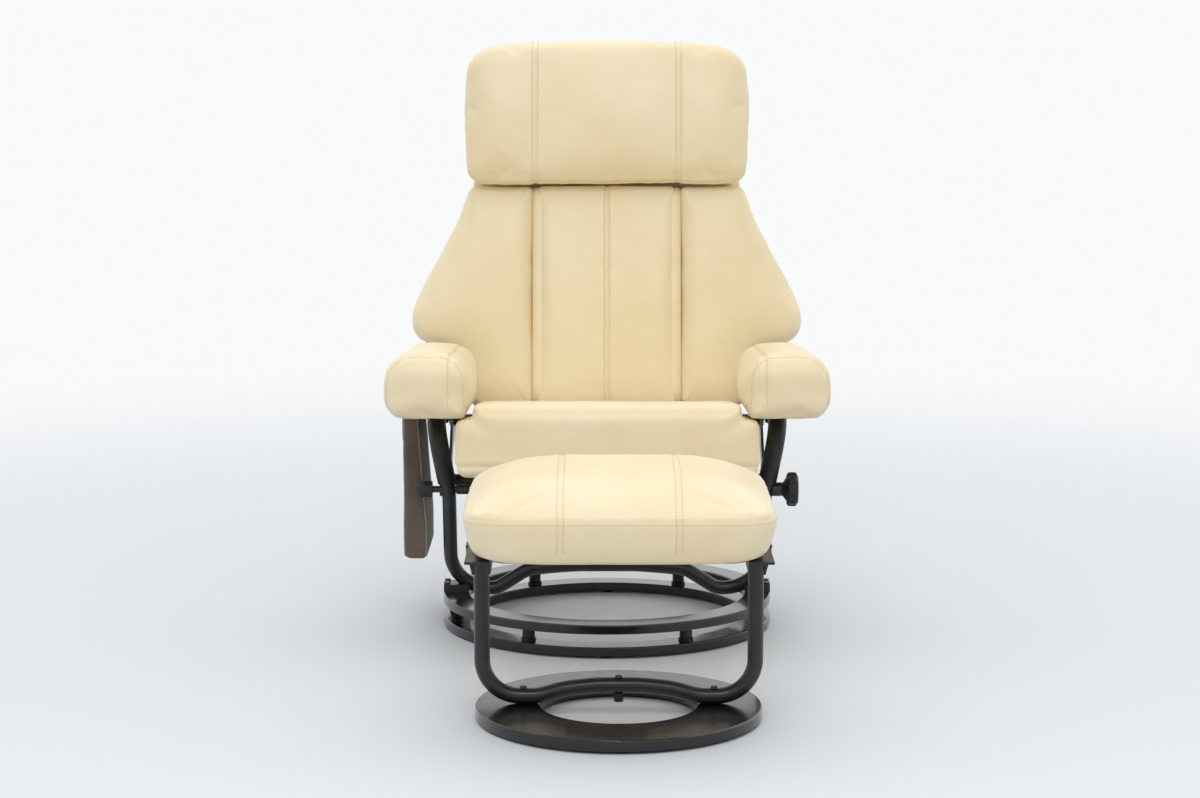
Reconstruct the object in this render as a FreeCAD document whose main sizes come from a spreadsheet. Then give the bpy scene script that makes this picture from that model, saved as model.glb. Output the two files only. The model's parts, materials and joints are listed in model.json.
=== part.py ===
"""Massage recliner with footstool.

Frame of the model: millimetres, +Z up, origin on the chair's swivel axis at
floor level.  The chair faces -Y, +X is to the right of somebody who stands in
front of the chair and looks at it.
"""
import FreeCAD, Part
import math
import os
import Sketcher

os.makedirs("parts", exist_ok=True)
V = FreeCAD.Vector
doc = FreeCAD.newDocument("recliner")

# ---------------------------------------------------------------- dimensions
DIMS = [
    # base rings and swivel
    ("ring_ro", 298.0), ("ring_ri", 251.0), ("ring_th", 16.0), ("pad_th", 4.0), ("pad_rad", 15.0),
    ("post_pcr", 274.5), ("post_rad", 11.0), ("neck_rad", 6.0), ("head_rad", 10.0),
    ("upper_bot", 43.0), ("keeper_th", 3.0), ("slot_half", 6.3), ("chan_half", 10.6), ("chan_dep", 7.0),
    ("top_plate_th", 13.0),
    # bent tube of the chair
    ("tube_rad", 12.5), ("tube_wall", 2.0), ("foot_half", 284.0), ("rail_half", 306.0),
    ("foot_z", 63.0), ("arch_z", 106.0), ("knee_z", 250.0), ("knee_y", -58.0),
    ("rail_front_y", -108.0), ("rail_front_z", 381.0), ("rail_rear_y", 252.0), ("rail_rear_z", 357.0),
    ("sleeve_rad", 16.5),
    # armrests
    ("arm_in", 236.0), ("arm_out", 386.0), ("arm_front_y", -290.0), ("arm_len", 440.0),
    ("arm_h", 118.0), ("arm_bot_z", 416.0), ("arm_slope", 4.0), ("arm_board_th", 15.0), ("arm_round", 36.0),
    # seat
    ("seat_tilt", 8.0), ("seat_len", 452.0), ("seat_half", 262.0), ("seat_top_half", 230.0),
    ("seat_h", 130.0), ("seat_front_y", -290.0), ("seat_bot_z", 316.0), ("seat_frame_th", 15.0),
    ("slot_wid", 16.0), ("slot_run", 30.0), ("stud_y", -59.0), ("stud_z", 256.0), ("stud_rad", 6.0),
    ("bracket_x", 225.0), ("bracket_th", 5.0),
    # backrest
    ("back_lean", 14.0), ("back_y", 256.0), ("back_z", 345.0), ("board_th", 12.0), ("cush_th", 85.0),
    ("shell_dep", 50.0), ("shell_wall", 6.0), ("centre_half", 134.0), ("head_half", 267.0),
    ("head_low", 430.0), ("head_high", 696.0), ("head_front", 150.0), ("head_back", 65.0),
    ("hinge_y", 250.0), ("hinge_z", 335.0), ("pivot_rad", 12.5), ("pivot_half", 270.0), ("bolt_rad", 6.0),
    ("plate_in", 288.5), ("plate_th", 5.0), ("bar_y", 95.0), ("bar_z", 246.9), ("bar_rad", 11.0),
    ("back_tube_rad", 10.0), ("back_tube_half", 196.0),
    # side pocket and handset
    ("pock_y0", -30.0), ("pock_len", 200.0), ("pock_out", 368.0), ("pock_top", 380.0), ("pock_bot", 122.0),
    ("pock_wall", 2.5), ("pock_mouth", 336.0),
    ("hs_wid", 54.0), ("hs_th", 16.0), ("hs_len", 138.0), ("btn_rad", 5.5), ("btn_travel", 1.2),
    # knob
    ("knob_rad", 31.0), ("knob_boss", 12.5),
    # footstool
    ("st_x", 17.0), ("st_y", -694.0), ("st_ro", 227.0), ("st_ri", 124.0), ("st_th", 18.0),
    ("st_leg_half", 216.0), ("st_arch_z", 52.0), ("st_leg_top", 276.0),
    ("st_half", 238.0), ("st_dep", 400.0), ("st_cush_bot", 291.0), ("st_cush_h", 118.0), ("st_board_th", 12.0),
]
sheet = doc.addObject("Spreadsheet::Sheet", "Dims")
VAL = {}
for row, (alias, value) in enumerate(DIMS, start=1):
    sheet.set("A%d" % row, alias)
    sheet.set("B%d" % row, repr(float(value)))
    sheet.setAlias("B%d" % row, alias)
    VAL[alias] = float(value)
doc.recompute()


def g(alias):
    return float(sheet.get(alias))


def E(text):
    """Turn 'ring_ro - 5' into an expression on the sheet."""
    out = []
    for word in text.replace("(", " ( ").replace(")", " ) ").split():
        out.append("Dims." + word if word in VAL else word)
    return " ".join(out)


def ex(text):
    """Value of such an expression."""
    words = []
    for word in text.replace("(", " ( ").replace(")", " ) ").split():
        if word in VAL:
            words.append(g(word))
        elif word in "()+-*/":
            words.append(word)
        else:
            words.append(float(word))
    return _calc(words)


def _calc(words):
    """Small calculator for + - * / and brackets."""
    pos = [0]

    def atom():
        w = words[pos[0]]
        pos[0] += 1
        if w == "(":
            r = expr()
            pos[0] += 1
            return r
        if w == "-":
            return -atom()
        return w

    def term():
        r = atom()
        while pos[0] < len(words) and words[pos[0]] in ("*", "/"):
            op = words[pos[0]]
            pos[0] += 1
            q = atom()
            r = r * q if op == "*" else r / q
        return r

    def expr():
        r = term()
        while pos[0] < len(words) and words[pos[0]] in ("+", "-"):
            op = words[pos[0]]
            pos[0] += 1
            q = term()
            r = r + q if op == "+" else r - q
        return r

    return expr()


NODES = []            # objects that are written out
X_AX, Y_AX, Z_AX = V(1, 0, 0), V(0, 1, 0), V(0, 0, 1)


def place(obj, base=(0, 0, 0), axis=(0, 0, 1), angle=0.0):
    obj.Placement = FreeCAD.Placement(V(*base), FreeCAD.Rotation(V(*axis), angle))
    return obj


def keep(obj, label):
    obj.Label = label
    NODES.append(obj)
    return obj


def box(name, lx, ly, lz, base=(0, 0, 0), axis=(0, 0, 1), angle=0.0):
    o = doc.addObject("Part::Box", name)
    for prop, e in (("Length", lx), ("Width", ly), ("Height", lz)):
        o.setExpression(prop, E(e))
    return place(o, base, axis, angle)


def cyl(name, rad, height, base=(0, 0, 0), axis=(0, 0, 1), angle=0.0):
    o = doc.addObject("Part::Cylinder", name)
    o.setExpression("Radius", E(rad))
    o.setExpression("Height", E(height))
    return place(o, base, axis, angle)


def cylx(name, rad, height, base):
    """Cylinder whose axis runs along +X from base."""
    return cyl(name, rad, height, base, (0, 1, 0), 90)


def cut(name, base, tool):
    o = doc.addObject("Part::Cut", name)
    o.Base, o.Tool = base, tool
    return o


def fuse(name, parts):
    o = doc.addObject("Part::MultiFuse", name)
    o.Shapes = parts
    return o


def fillet(name, base, radius, pick):
    """Part::Fillet on the edges for which pick(edge) holds."""
    doc.recompute()
    o = doc.addObject("Part::Fillet", name)
    o.Base = base
    o.Edges = [(i + 1, radius, radius) for i, e in enumerate(base.Shape.Edges) if pick(e)]
    return o


def mirror(name, src):
    """The piece of the other side, mirrored in the plane X = 0."""
    o = doc.addObject("Part::Mirroring", name)
    o.Source = src
    o.Base = V(0, 0, 0)
    o.Normal = V(1, 0, 0)
    return o


def pair(label, left, plane_x=0.0):
    """Left piece and its mirror image in one node, as two solids."""
    r = doc.addObject("Part::Mirroring", label + "_mirrored")
    r.Source = left
    r.Base = V(plane_x, 0, 0)
    r.Normal = V(1, 0, 0)
    c = doc.addObject("Part::Compound", label + "_set")
    c.Links = [left, r]
    return keep(c, label)


def group(name, src, placements):
    """Several equal pieces, such as a set of screws, as separate solids."""
    doc.recompute()
    o = doc.addObject("Part::Feature", name)
    shapes = []
    for p in placements:
        s = src.Shape.copy()
        s.Placement = p.multiply(s.Placement)
        shapes.append(s)
    o.Shape = Part.makeCompound(shapes)
    return o


def shift(x, y, z, axis=(0, 0, 1), angle=0.0):
    return FreeCAD.Placement(V(x, y, z), FreeCAD.Rotation(V(*axis), angle))


def plane_of(body, role):
    for f in body.Origin.OriginFeatures:
        if f.Role == role:
            return f
    raise RuntimeError("no plane " + role)


def new_body(name):
    return doc.addObject("PartDesign::Body", name)


def sketch_on(body, name, role, offset=0.0):
    sk = body.newObject("Sketcher::SketchObject", name)
    sk.AttachmentSupport = [(plane_of(body, role), "")]
    sk.MapMode = "FlatFace"
    if offset:
        sk.AttachmentOffset = FreeCAD.Placement(V(0, 0, offset), FreeCAD.Rotation())
    return sk


def circle_in(sk, rad_expr, cx=0.0, cy=0.0, name="rad"):
    i = sk.addGeometry(Part.Circle(V(cx, cy, 0), Z_AX, ex(rad_expr)), False)
    sk.addConstraint(Sketcher.Constraint("Coincident", i, 3, -1, 1)) if cx == 0 and cy == 0 else None
    c = sk.addConstraint(Sketcher.Constraint("Radius", i, ex(rad_expr)))
    sk.setExpression("Constraints[%d]" % c, E(rad_expr))
    return i


def poly_in(sk, pts):
    """Closed polygon; the points are held by the drawing itself."""
    n = len(pts)
    ids = []
    for k in range(n):
        a, b = pts[k], pts[(k + 1) % n]
        ids.append(sk.addGeometry(Part.LineSegment(V(a[0], a[1], 0), V(b[0], b[1], 0)), False))
    for k in range(n):
        sk.addConstraint(Sketcher.Constraint("Coincident", ids[k], 2, ids[(k + 1) % n], 1))
    return ids


def pad(body, sk, name, length, reverse=False):
    p = body.newObject("PartDesign::Pad", name)
    p.Profile = sk
    p.setExpression("Length", E(length))
    p.Reversed = reverse
    body.Tip = p
    return p


def revolve(name, pts, angle=360.0):
    """Body turned about Z from a polygon of (radius, z) points on the XZ plane."""
    b = new_body(name)
    sk = sketch_on(b, name + "_profile", "XZ_Plane")
    poly_in(sk, pts)
    r = b.newObject("PartDesign::Revolution", name + "_turn")
    r.Profile = sk
    r.ReferenceAxis = (sk, ["V_Axis"])
    r.Angle = angle
    b.Tip = r
    return b


def prism(name, pts, role, length, offset=0.0, reverse=False):
    """Body padded from a polygon on one of its own origin planes."""
    b = new_body(name)
    sk = sketch_on(b, name + "_outline", role, offset)
    poly_in(sk, pts)
    pad(b, sk, name + "_pad", length, reverse)
    return b


def path_wire(points, radii):
    """Straight runs joined by tangent arcs."""
    edges = []
    start = points[0]
    for i in range(1, len(points) - 1):
        a, b, c = points[i - 1], points[i], points[i + 1]
        u = (a - b).normalize()
        w = (c - b).normalize()
        ang = math.acos(max(-1.0, min(1.0, u.dot(w))))
        t = radii[i - 1] / math.tan(ang / 2.0)
        p1, p2 = b + u * t, b + w * t
        bis = (u + w).normalize()
        mid = b + bis * (radii[i - 1] / math.sin(ang / 2.0) - radii[i - 1])
        edges.append(Part.LineSegment(start, p1).toShape())
        edges.append(Part.Arc(p1, mid, p2).toShape())
        start = p2
    edges.append(Part.LineSegment(start, points[-1]).toShape())
    return Part.Wire(edges)


def tube(name, points, radii, rad_expr, wall_expr):
    """Bent round tube: an outer and an inner sweep, subtracted."""
    pts = [V(*p) for p in points]
    spine = doc.addObject("Part::Feature", name + "_path")
    spine.Shape = path_wire(pts, radii)
    d = (pts[1] - pts[0]).normalize()
    rot = FreeCAD.Rotation(Z_AX, d)
    sweeps = []
    for tag, e in (("outer", rad_expr), ("inner", rad_expr + " - " + wall_expr)):
        c = doc.addObject("Part::Circle", name + "_" + tag + "_circle")
        c.setExpression("Radius", E(e))
        c.Placement = FreeCAD.Placement(pts[0], rot)
        doc.recompute()
        s = doc.addObject("Part::Sweep", name + "_" + tag)
        s.Sections = [c]
        s.Spine = (spine, ["Edge%d" % (k + 1) for k in range(len(spine.Shape.Edges))])
        s.Solid = True
        s.Frenet = False
        sweeps.append(s)
    o = cut(name, sweeps[0], sweeps[1])
    doc.recompute()
    outer = sweeps[0].Shape.Volume
    length = spine.Shape.Length
    area = math.pi * ex(rad_expr) ** 2
    print("tube %s length %.1f volume ratio %.4f" % (name, length, outer / (length * area)))
    return o


def inset(pts, d):
    """Move a closed polygon (either direction) inwards by d."""
    area = sum(pts[i][0] * pts[(i + 1) % len(pts)][1] - pts[(i + 1) % len(pts)][0] * pts[i][1]
               for i in range(len(pts)))
    sign = 1.0 if area > 0 else -1.0
    n = len(pts)
    lines = []
    for i in range(n):
        (x0, y0), (x1, y1) = pts[i], pts[(i + 1) % n]
        L = math.hypot(x1 - x0, y1 - y0)
        nx, ny = -(y1 - y0) / L * sign, (x1 - x0) / L * sign
        lines.append((x0 + nx * d, y0 + ny * d, x1 - x0, y1 - y0))
    out = []
    for i in range(n):
        x0, y0, ux, uy = lines[i - 1]
        x1, y1, vx, vy = lines[i]
        det = ux * -vy + vx * uy
        if abs(det) < 1e-6:
            out.append((x1, y1))
            continue
        t = ((x1 - x0) * -vy + vx * (y1 - y0)) / det
        out.append((x0 + ux * t, y0 + uy * t))
    return out


def is_vertical(e, tol=1e-3):
    a, b = e.Vertexes[0].Point, e.Vertexes[-1].Point
    return abs(a.x - b.x) < tol and abs(a.y - b.y) < tol and abs(a.z - b.z) > 1


# ================================================================= base rings
def ring_body(name, ro, ri, th, z0):
    """Flat ring plate with softly rounded rims."""
    plate = cut(name + "_plate", cyl(name + "_outer", ro, th), cyl(name + "_inner", ri, th))
    f = fillet(name, plate, 2.0, lambda e: isinstance(e.Curve, Part.Circle))
    return place(f, (0, 0, z0))


post_angles = [k * 60.0 for k in range(6)]
polar = [FreeCAD.Placement(V(0, 0, 0), FreeCAD.Rotation(Z_AX, a)) for a in post_angles]

lower = ring_body("lower_plate", "ring_ro", "ring_ri", "ring_th", g("pad_th"))
screw_tool = revolve("ring_screw_tool", [(0, -1), (6.2, -1), (6.2, 0.2), (3.2, 3.2), (3.2, 40), (0, 40)])
place(screw_tool, (g("post_pcr"), 0, g("pad_th")))
holes = group("ring_screw_holes", screw_tool, polar)
keep(cut("floor_ring", lower, holes), "floor_ring")

pad_disc = revolve("pad_disc", [(0, 0), (g("pad_rad") - 1.5, 0), (g("pad_rad"), 1.5), (g("pad_rad"), g("pad_th")),
                                (0, g("pad_th"))])
place(pad_disc, (g("post_pcr"), 0, 0))
pads = group("floor_pads", pad_disc, [FreeCAD.Placement(V(0, 0, 0), FreeCAD.Rotation(Z_AX, a + 30.0))
                                      for a in post_angles])
keep(pads, "floor_pads")

z1 = g("pad_th") + g("ring_th")            # top of the lower ring
zu = g("upper_bot")
hs0 = zu + g("keeper_th")                  # underside of the channel
post = revolve("post_turned", [(3.0, z1), (g("post_rad") + 2, z1), (g("post_rad") + 2, z1 + 4), (g("post_rad"), z1 + 6),
                               (g("post_rad"), zu - 0.3), (g("neck_rad"), zu - 0.3), (g("neck_rad"), hs0 + 0.3),
                               (g("head_rad"), hs0 + 0.3), (g("head_rad"), hs0 + g("chan_dep") - 0.4),
                               (3.0, hs0 + g("chan_dep") - 0.4)])
place(post, (g("post_pcr"), 0, 0))
keep(group("swivel_posts", post, polar), "swivel_posts")
pscrew = revolve("post_screw", [(0, g("pad_th") + 0.3), (5.9, g("pad_th") + 0.3), (5.9, g("pad_th") + 0.5),
                                (3.0, g("pad_th") + 3.3), (3.0, hs0), (0, hs0)])
place(pscrew, (g("post_pcr"), 0, 0))
keep(group("post_screws", pscrew, polar), "post_screws")

# upper ring: a top plate with a channel, closed below by two flat keeper rings
ro, ri, pc = g("ring_ro"), g("ring_ri"), g("post_pcr")
zt = hs0 + g("top_plate_th")
upper = revolve("upper_turned", [(ri, hs0), (pc - g("chan_half"), hs0), (pc - g("chan_half"), hs0 + g("chan_dep")),
                               (pc + g("chan_half"), hs0 + g("chan_dep")), (pc + g("chan_half"), hs0), (ro, hs0),
                               (ro, zt - 2), (ro - 2, zt), (ri + 2, zt), (ri, zt - 2)])
rib_in, rib_out = (ri + pc - g("chan_half")) / 2, (pc + g("chan_half") + ro) / 2
ktool = revolve("keeper_screw_tool", [(0, zu - 1), (4.2, zu - 1), (4.2, zu + 0.2), (2.1, zu + 2.3), (2.1, hs0 + 8), (0, hs0 + 8)])
place(ktool, (rib_in, 0, 0))
kpl = [FreeCAD.Placement(V(0, 0, 0), FreeCAD.Rotation(Z_AX, a + 30.0)) for a in post_angles]
kholes_in = group("keeper_holes_in", ktool, kpl)
kholes_out = group("keeper_holes_out", ktool, [q.multiply(shift(rib_out - rib_in, 0, 0)) for q in kpl])
bolt_tool = cyl("ring_bolt_hole", "3", "30", (-rib_out, -14, zt - 9))
bolt_holes = group("ring_bolt_holes", bolt_tool, [shift(0, 0, 0), shift(0, 28, 0), shift(2 * rib_out, 0, 0),
                                                  shift(2 * rib_out, 28, 0)])
keep(cut("upper_c", cut("upper_b", cut("upper_a", upper, kholes_in), kholes_out), bolt_holes), "upper_ring")
kin = revolve("keeper_inner", [(ri, zu), (pc - g("slot_half"), zu), (pc - g("slot_half"), hs0), (ri, hs0)])
kout = revolve("keeper_outer", [(pc + g("slot_half"), zu), (ro, zu), (ro, hs0), (pc + g("slot_half"), hs0)])
keepers = doc.addObject("Part::Compound", "keeper_set")
keepers.Links = [cut("keeper_in_drilled", kin, kholes_in), cut("keeper_out_drilled", kout, kholes_out)]
keep(keepers, "keeper_rings")
kscrew = revolve("keeper_screw", [(0, zu + 0.3), (3.9, zu + 0.3), (2.1, zu + 2.3), (2.1, hs0 + 7), (0, hs0 + 7)])
place(kscrew, (rib_in, 0, 0))
keep(group("keeper_screw_set", kscrew, kpl + [q.multiply(shift(rib_out - rib_in, 0, 0)) for q in kpl]), "keeper_screws")

# ================================================================ bent frame
fh, rh = g("foot_half"), g("rail_half")
fz, az = g("foot_z"), g("arch_z")
half = [(-rh, g("rail_rear_y"), g("rail_rear_z")),
        (-rh, g("rail_front_y"), g("rail_front_z")),
        (-fh, g("knee_y"), g("knee_z")),
        (-fh, 0, fz),
        (-200, 0, fz),
        (-140, 0, az - 5),
        (-56, 0, az)]
pts = half + [(-x, y, z) for x, y, z in reversed(half)]
rad = [42.0, 220.0, 72.0, 38.0, 80.0, 300.0, 300.0, 80.0, 38.0, 72.0, 220.0, 42.0]
u_tube = tube("u_tube", pts, rad, "tube_rad", "tube_wall")
stud_hole = cylx("stud_hole", "stud_rad + 0.2", "2 * foot_half + 100", (-fh - 50, g("stud_y"), g("stud_z")))
keep(cut("u_frame", u_tube, stud_hole), "u_frame")

# plugs in the rear ends of the arm rails
rail_dir = V(0, g("rail_rear_y") - g("rail_front_y"), g("rail_rear_z") - g("rail_front_z")).normalize()
rail_ang = math.degrees(math.atan2(rail_dir.z, rail_dir.y))
capl = revolve("cap_turned", [(0, 0), (g("tube_rad"), 0), (g("tube_rad"), 2.5), (g("tube_rad") - 1.5, 4), (0, 4)])
cap_rot = FreeCAD.Rotation(Z_AX, rail_dir)
capl.Placement = FreeCAD.Placement(V(-rh, g("rail_rear_y"), g("rail_rear_z")), cap_rot)
doc.recompute()
caps = doc.addObject("Part::Compound", "cap_pair")
capr = mirror("cap_right", capl)
caps.Links = [capl, capr]
keep(caps, "rail_end_caps")

# saddles: blocks bolted to the upper ring that hold the bend of the tube
sad_blank = box("saddle_blank", "46", "44", "40", (-297, -22, zt))
spine_cut = doc.addObject("Part::Feature", "saddle_groove_path")
spine_cut.Shape = u_tube.Base.Shape.copy()
sad_l0 = cut("saddle_left_cut", sad_blank, spine_cut)
doc.recompute()
sad_pick = doc.addObject("Part::Feature", "saddle_left")
solids = sorted(sad_l0.Shape.Solids, key=lambda q: q.BoundBox.ZMin)
sad_pick.Shape = solids[0]
sad_trim = box("saddle_trim", "60", "60", "60", (-300, -30, zt + 14))
sad_l = cut("saddle_left_trimmed", sad_pick, sad_trim)
bolt_hole = group("saddle_bolt_holes", cyl("saddle_hole", "3", "80", (-rib_out, -14, zt - 10)),
                  [shift(0, 0, 0), shift(0, 28, 0)])
sad_l2 = cut("saddle_left_drilled", sad_l, bolt_hole)
sad_r2 = mirror("saddle_right_drilled", sad_l2)
saddles = doc.addObject("Part::Compound", "saddle_pair")
saddles.Links = [sad_l2, sad_r2]
doc.recompute()
keep(saddles, "frame_saddles")

# ============================================================== shared pieces
# sleeve round the upper part of each upright and its bend under the armrest
a0 = V(-fh, g("knee_y"), g("knee_z"))
a1 = V(-rh, g("rail_front_y"), g("rail_front_z"))
upn = (a1 - a0).normalize()
sl0 = a0 + upn * 24.0
sl1 = a1 + rail_dir * 80.0
slv = tube("upright_sleeve", [(sl0.x, sl0.y, sl0.z), (a1.x, a1.y, a1.z), (sl1.x, sl1.y, sl1.z)], [42.0],
           "sleeve_rad", "(sleeve_rad - tube_rad - 0.05)")
pair("upright_sleeves", slv)

# clamp studs through the uprights, spacers, and the cap nut of the left side
sy, sz = g("stud_y"), g("stud_z")
fxi = fh - g("tube_rad")                    # inner side of the upright
stl = cylx("stud_left", "stud_rad", "122", (-334, sy, sz))
pair("clamp_studs", stl)
bx0 = g("bracket_x") + g("bracket_th")
spl0 = cylx("spacer_left_out", "9", "foot_half - tube_rad - bracket_x - bracket_th - 2.2",
            (-fxi + 0.9, sy, sz))
spl = cut("spacer_left", spl0, cylx("spacer_bore", "stud_rad", "200", (-340, sy, sz)))
slide0 = cylx("slide_bush_out", "slot_wid / 2 - 0.4", "bracket_th + 3", (-bx0 - 1.0, sy, sz))
slide = cut("slide_bush", slide0, cylx("slide_bore", "stud_rad", "200", (-340, sy, sz)))
wash0 = cylx("washer_out", "13", "2", (-g("bracket_x") + 2.0, sy, sz))
wash = cut("washer_left", wash0, cylx("washer_bore", "stud_rad", "200", (-340, sy, sz)))
hard = doc.addObject("Part::Compound", "clamp_left")
hard.Links = [spl, wash]
pair("slide_bushes", slide)

capn = revolve("cap_nut_turned", [(g("stud_rad"), 0), (15.0, 0), (15.0, 14), (13.5, 22), (10.0, 27), (0, 29), (0, 24),
                                  (g("stud_rad"), 24)])
capn.Placement = FreeCAD.Placement(V(-(fh + g("tube_rad") + 17.5), sy, sz), FreeCAD.Rotation(Z_AX, V(-1, 0, 0)))
keep(capn, "cap_nut")
boss0 = cylx("boss_left_out", "knob_boss", "17", (-(fh + g("tube_rad") + 17), sy, sz))
boss1 = cylx("boss_bore", "stud_rad", "200", (-400, sy, sz))
bossl = cut("boss_left_ring", boss0, boss1)
bosst = doc.addObject("Part::Feature", "boss_tube")
doc.recompute()
bosst.Shape = u_tube.Base.Shape.copy()
bossl2 = cut("boss_left_coped", bossl, bosst)
bossr = mirror("boss_right", bossl2)
# the left boss is only a shaped washer: the bare stud shows between it and the cap nut
boss_s0 = cylx("boss_short_out", "knob_boss", "8", (-(fh + g("tube_rad") + 4), sy, sz))
boss_s = cut("boss_short_coped", cut("boss_short_ring", boss_s0, boss1), bosst)
bossc = doc.addObject("Part::Compound", "boss_pair")
bossc.Links = [boss_s, bossr]
keep(bossc, "stud_bosses")

# tension knob of the right side: hub, web and a lobed grip
kx = fh + g("tube_rad") + 17.5
hub = revolve("knob_hub", [(g("stud_rad") + 0.1, 0), (g("knob_boss") - 1, 0), (g("knob_boss") + 1, 3), (g("knob_rad") - 10, 8),
                           (g("knob_rad") - 3, 12), (g("knob_rad") - 3, 26), (g("knob_rad") - 6, 29), (0, 30), (0, 24),
                           (g("stud_rad") + 0.1, 24)])
lobe = revolve("knob_lobe", [(0, 9), (4.5, 9), (8, 13), (8, 24), (6, 27), (0, 27)])
place(lobe, (g("knob_rad") - 8, 0, 0))
lobes = [FreeCAD.Placement(V(0, 0, 0), FreeCAD.Rotation(Z_AX, k * 45.0)) for k in range(8)]
lobe_set = group("knob_lobes", lobe, lobes)
doc.recompute()
knob0 = doc.addObject("Part::Feature", "knob_blank")
ks = hub.Shape
for q in lobe_set.Shape.Solids:
    ks = ks.fuse(q)
knob0.Shape = ks.removeSplitter()
knob0.Placement = FreeCAD.Placement(V(kx, sy, sz), FreeCAD.Rotation(Z_AX, V(1, 0, 0)))
keep(knob0, "tension_knob")

# hinge plates welded to the rails, with the rear cross bar between them
hy, hz = g("hinge_y"), g("hinge_z")
plate_pts = [(190, 350), (190, 372), (268, 367), (273, 340), (264, 322), (180, 290), (122, 234), (97, 224), (76, 232),
             (71, 252), (90, 270), (140, 300)]
hpl = prism("hinge_plate", plate_pts, "YZ_Plane", "plate_th", offset=-(g("plate_in") + g("plate_th")))
hp_hole = cylx("hinge_hole", "bolt_rad", "100", (-330, hy, hz))
hp_hole2 = cylx("bar_hole", "4", "100", (-330, g("bar_y"), g("bar_z")))
hp_cut = cut("hinge_plate_bored", cut("hinge_plate_bored_a", hpl, hp_hole), hp_hole2)
pair("hinge_plates", hp_cut)
bar0 = cylx("bar_out", "bar_rad", "2 * plate_in", (-g("plate_in"), g("bar_y"), g("bar_z")))
bar1 = cylx("bar_in", "4", "2 * plate_in", (-g("plate_in"), g("bar_y"), g("bar_z")))
keep(cut("rear_cross_bar", bar0, bar1), "rear_cross_bar")
barb = revolve("bar_bolt", [(0, 0), (8, 0), (8, 5), (4, 5), (4, 40), (0, 40)])
barb.Placement = FreeCAD.Placement(V(-(g("plate_in") + g("plate_th") + 5), g("bar_y"), g("bar_z")),
                                   FreeCAD.Rotation(Z_AX, V(1, 0, 0)))
barb_r = mirror("bar_bolt_right", barb)
glide0 = group("glide_rings", cut("glide_ring", cylx("glide_out", "bar_rad + 3", "36", (-200, g("bar_y"), g("bar_z"))),
                                  cylx("glide_in", "bar_rad", "60", (-210, g("bar_y"), g("bar_z")))),
               [shift(0, 0, 0), shift(364, 0, 0)])
keep(glide0, "seat_glides")
pvb = revolve("pivot_bolt", [(0, 0), (9.5, 0), (9.5, 6), (g("bolt_rad"), 6), (g("bolt_rad"), 66), (0, 66)])
pvb.Placement = FreeCAD.Placement(V(-(g("plate_in") + g("plate_th") + 6), hy, hz), FreeCAD.Rotation(Z_AX, V(1, 0, 0)))
pair("pivot_bolts", pvb)
pvs = cut("pivot_spacer", cylx("pivot_spacer_out", "10", "plate_in - pivot_half - 1", (-(g("plate_in")), hy, hz)),
          cylx("pivot_spacer_in", "bolt_rad", "60", (-(g("plate_in") + 10), hy, hz)))
sleeves = doc.addObject("Part::Compound", "spacers_left")
sleeves.Links = [hard, pvs]
pair("spacers", sleeves)

# saddle bolts
sbolt = revolve("saddle_bolt", [(0, zt - 9), (3, zt - 9), (3, zt + 14), (5.5, zt + 14), (5.5, zt + 18), (0, zt + 18)])
place(sbolt, (-rib_out, -14, 0))
sbs = group("saddle_bolt_set", sbolt, [shift(0, 0, 0), shift(0, 28, 0), shift(2 * rib_out, 0, 0),
                                       shift(2 * rib_out, 28, 0)])
fbolts = doc.addObject("Part::Compound", "frame_bolt_set")
fbolts.Links = [sbs, barb, barb_r]
keep(fbolts, "frame_bolts")

# =================================================================== armrests
asl = g("arm_slope")
arm_w = "arm_out - arm_in"
ax0 = -g("arm_out")
arm_base = (ax0, g("arm_front_y"), g("arm_bot_z"))
arm_blank = box("arm_blank", arm_w, "arm_len", "arm_h", (0, 0, 0))
arm_round = fillet("arm_rounded", arm_blank, g("arm_round"), lambda e: True)
arm_rec = box("arm_recess", "arm_out - arm_in - 72", "arm_len - 100", "arm_board_th + 2", (36, 50, -2))
arm_cut = cut("arm_pad", arm_round, arm_rec)
arm_cut.Placement = FreeCAD.Placement(V(*arm_base), FreeCAD.Rotation(X_AX, -asl))
keep(arm_cut, "armrest_left")
keep(mirror("arm_pad_right", arm_cut), "armrest_right")
arm_board = box("arm_board", "arm_out - arm_in - 73", "arm_len - 101", "arm_board_th - 0.5", (36.5, 50.5, 0))
rot_arm = FreeCAD.Rotation(X_AX, -asl)
arm_board.Placement = FreeCAD.Placement(V(*arm_base) + rot_arm.multVec(V(36.5, 50.5, 0)), rot_arm)
pair("arm_boards", arm_board)


def arm_pt(a, n):
    """World Y, Z of a point a behind the front of the arm and n above its underside."""
    q = V(*arm_base) + rot_arm.multVec(V(0, a, n))
    return q.y, q.z


# arm clips: bent saddles between rail and board
rail_y = lambda tpar: (g("rail_front_y") + rail_dir.y * tpar, g("rail_front_z") + rail_dir.z * tpar)
clips = []
for k, tpar in enumerate((110.0, 225.0)):
    yy, zz = rail_y(tpar)
    yb = yy
    zb = g("arm_bot_z") - (yb - g("arm_front_y")) * math.tan(math.radians(asl))
    blk = box("clip_blank_%d" % k, "38", "30", "26", (-rh - 19, yy - 15, zb - 26.0))
    clips.append(blk)
tube_copy = doc.addObject("Part::Feature", "rail_solid_copy")
doc.recompute()
tube_copy.Shape = u_tube.Base.Shape.copy()
top_copy = doc.addObject("Part::Feature", "arm_under_copy")
under = Part.makeBox(400, 700, 100)
under.Placement = FreeCAD.Placement(V(-600, g("arm_front_y"), g("arm_bot_z")), rot_arm)
top_copy.Shape = under
clip_cut = []
for k, blk in enumerate(clips):
    c1 = cut("clip_a%d" % k, blk, tube_copy)
    c2 = cut("clip_b%d" % k, c1, top_copy)
    clip_cut.append(c2)
doc.recompute()
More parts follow.
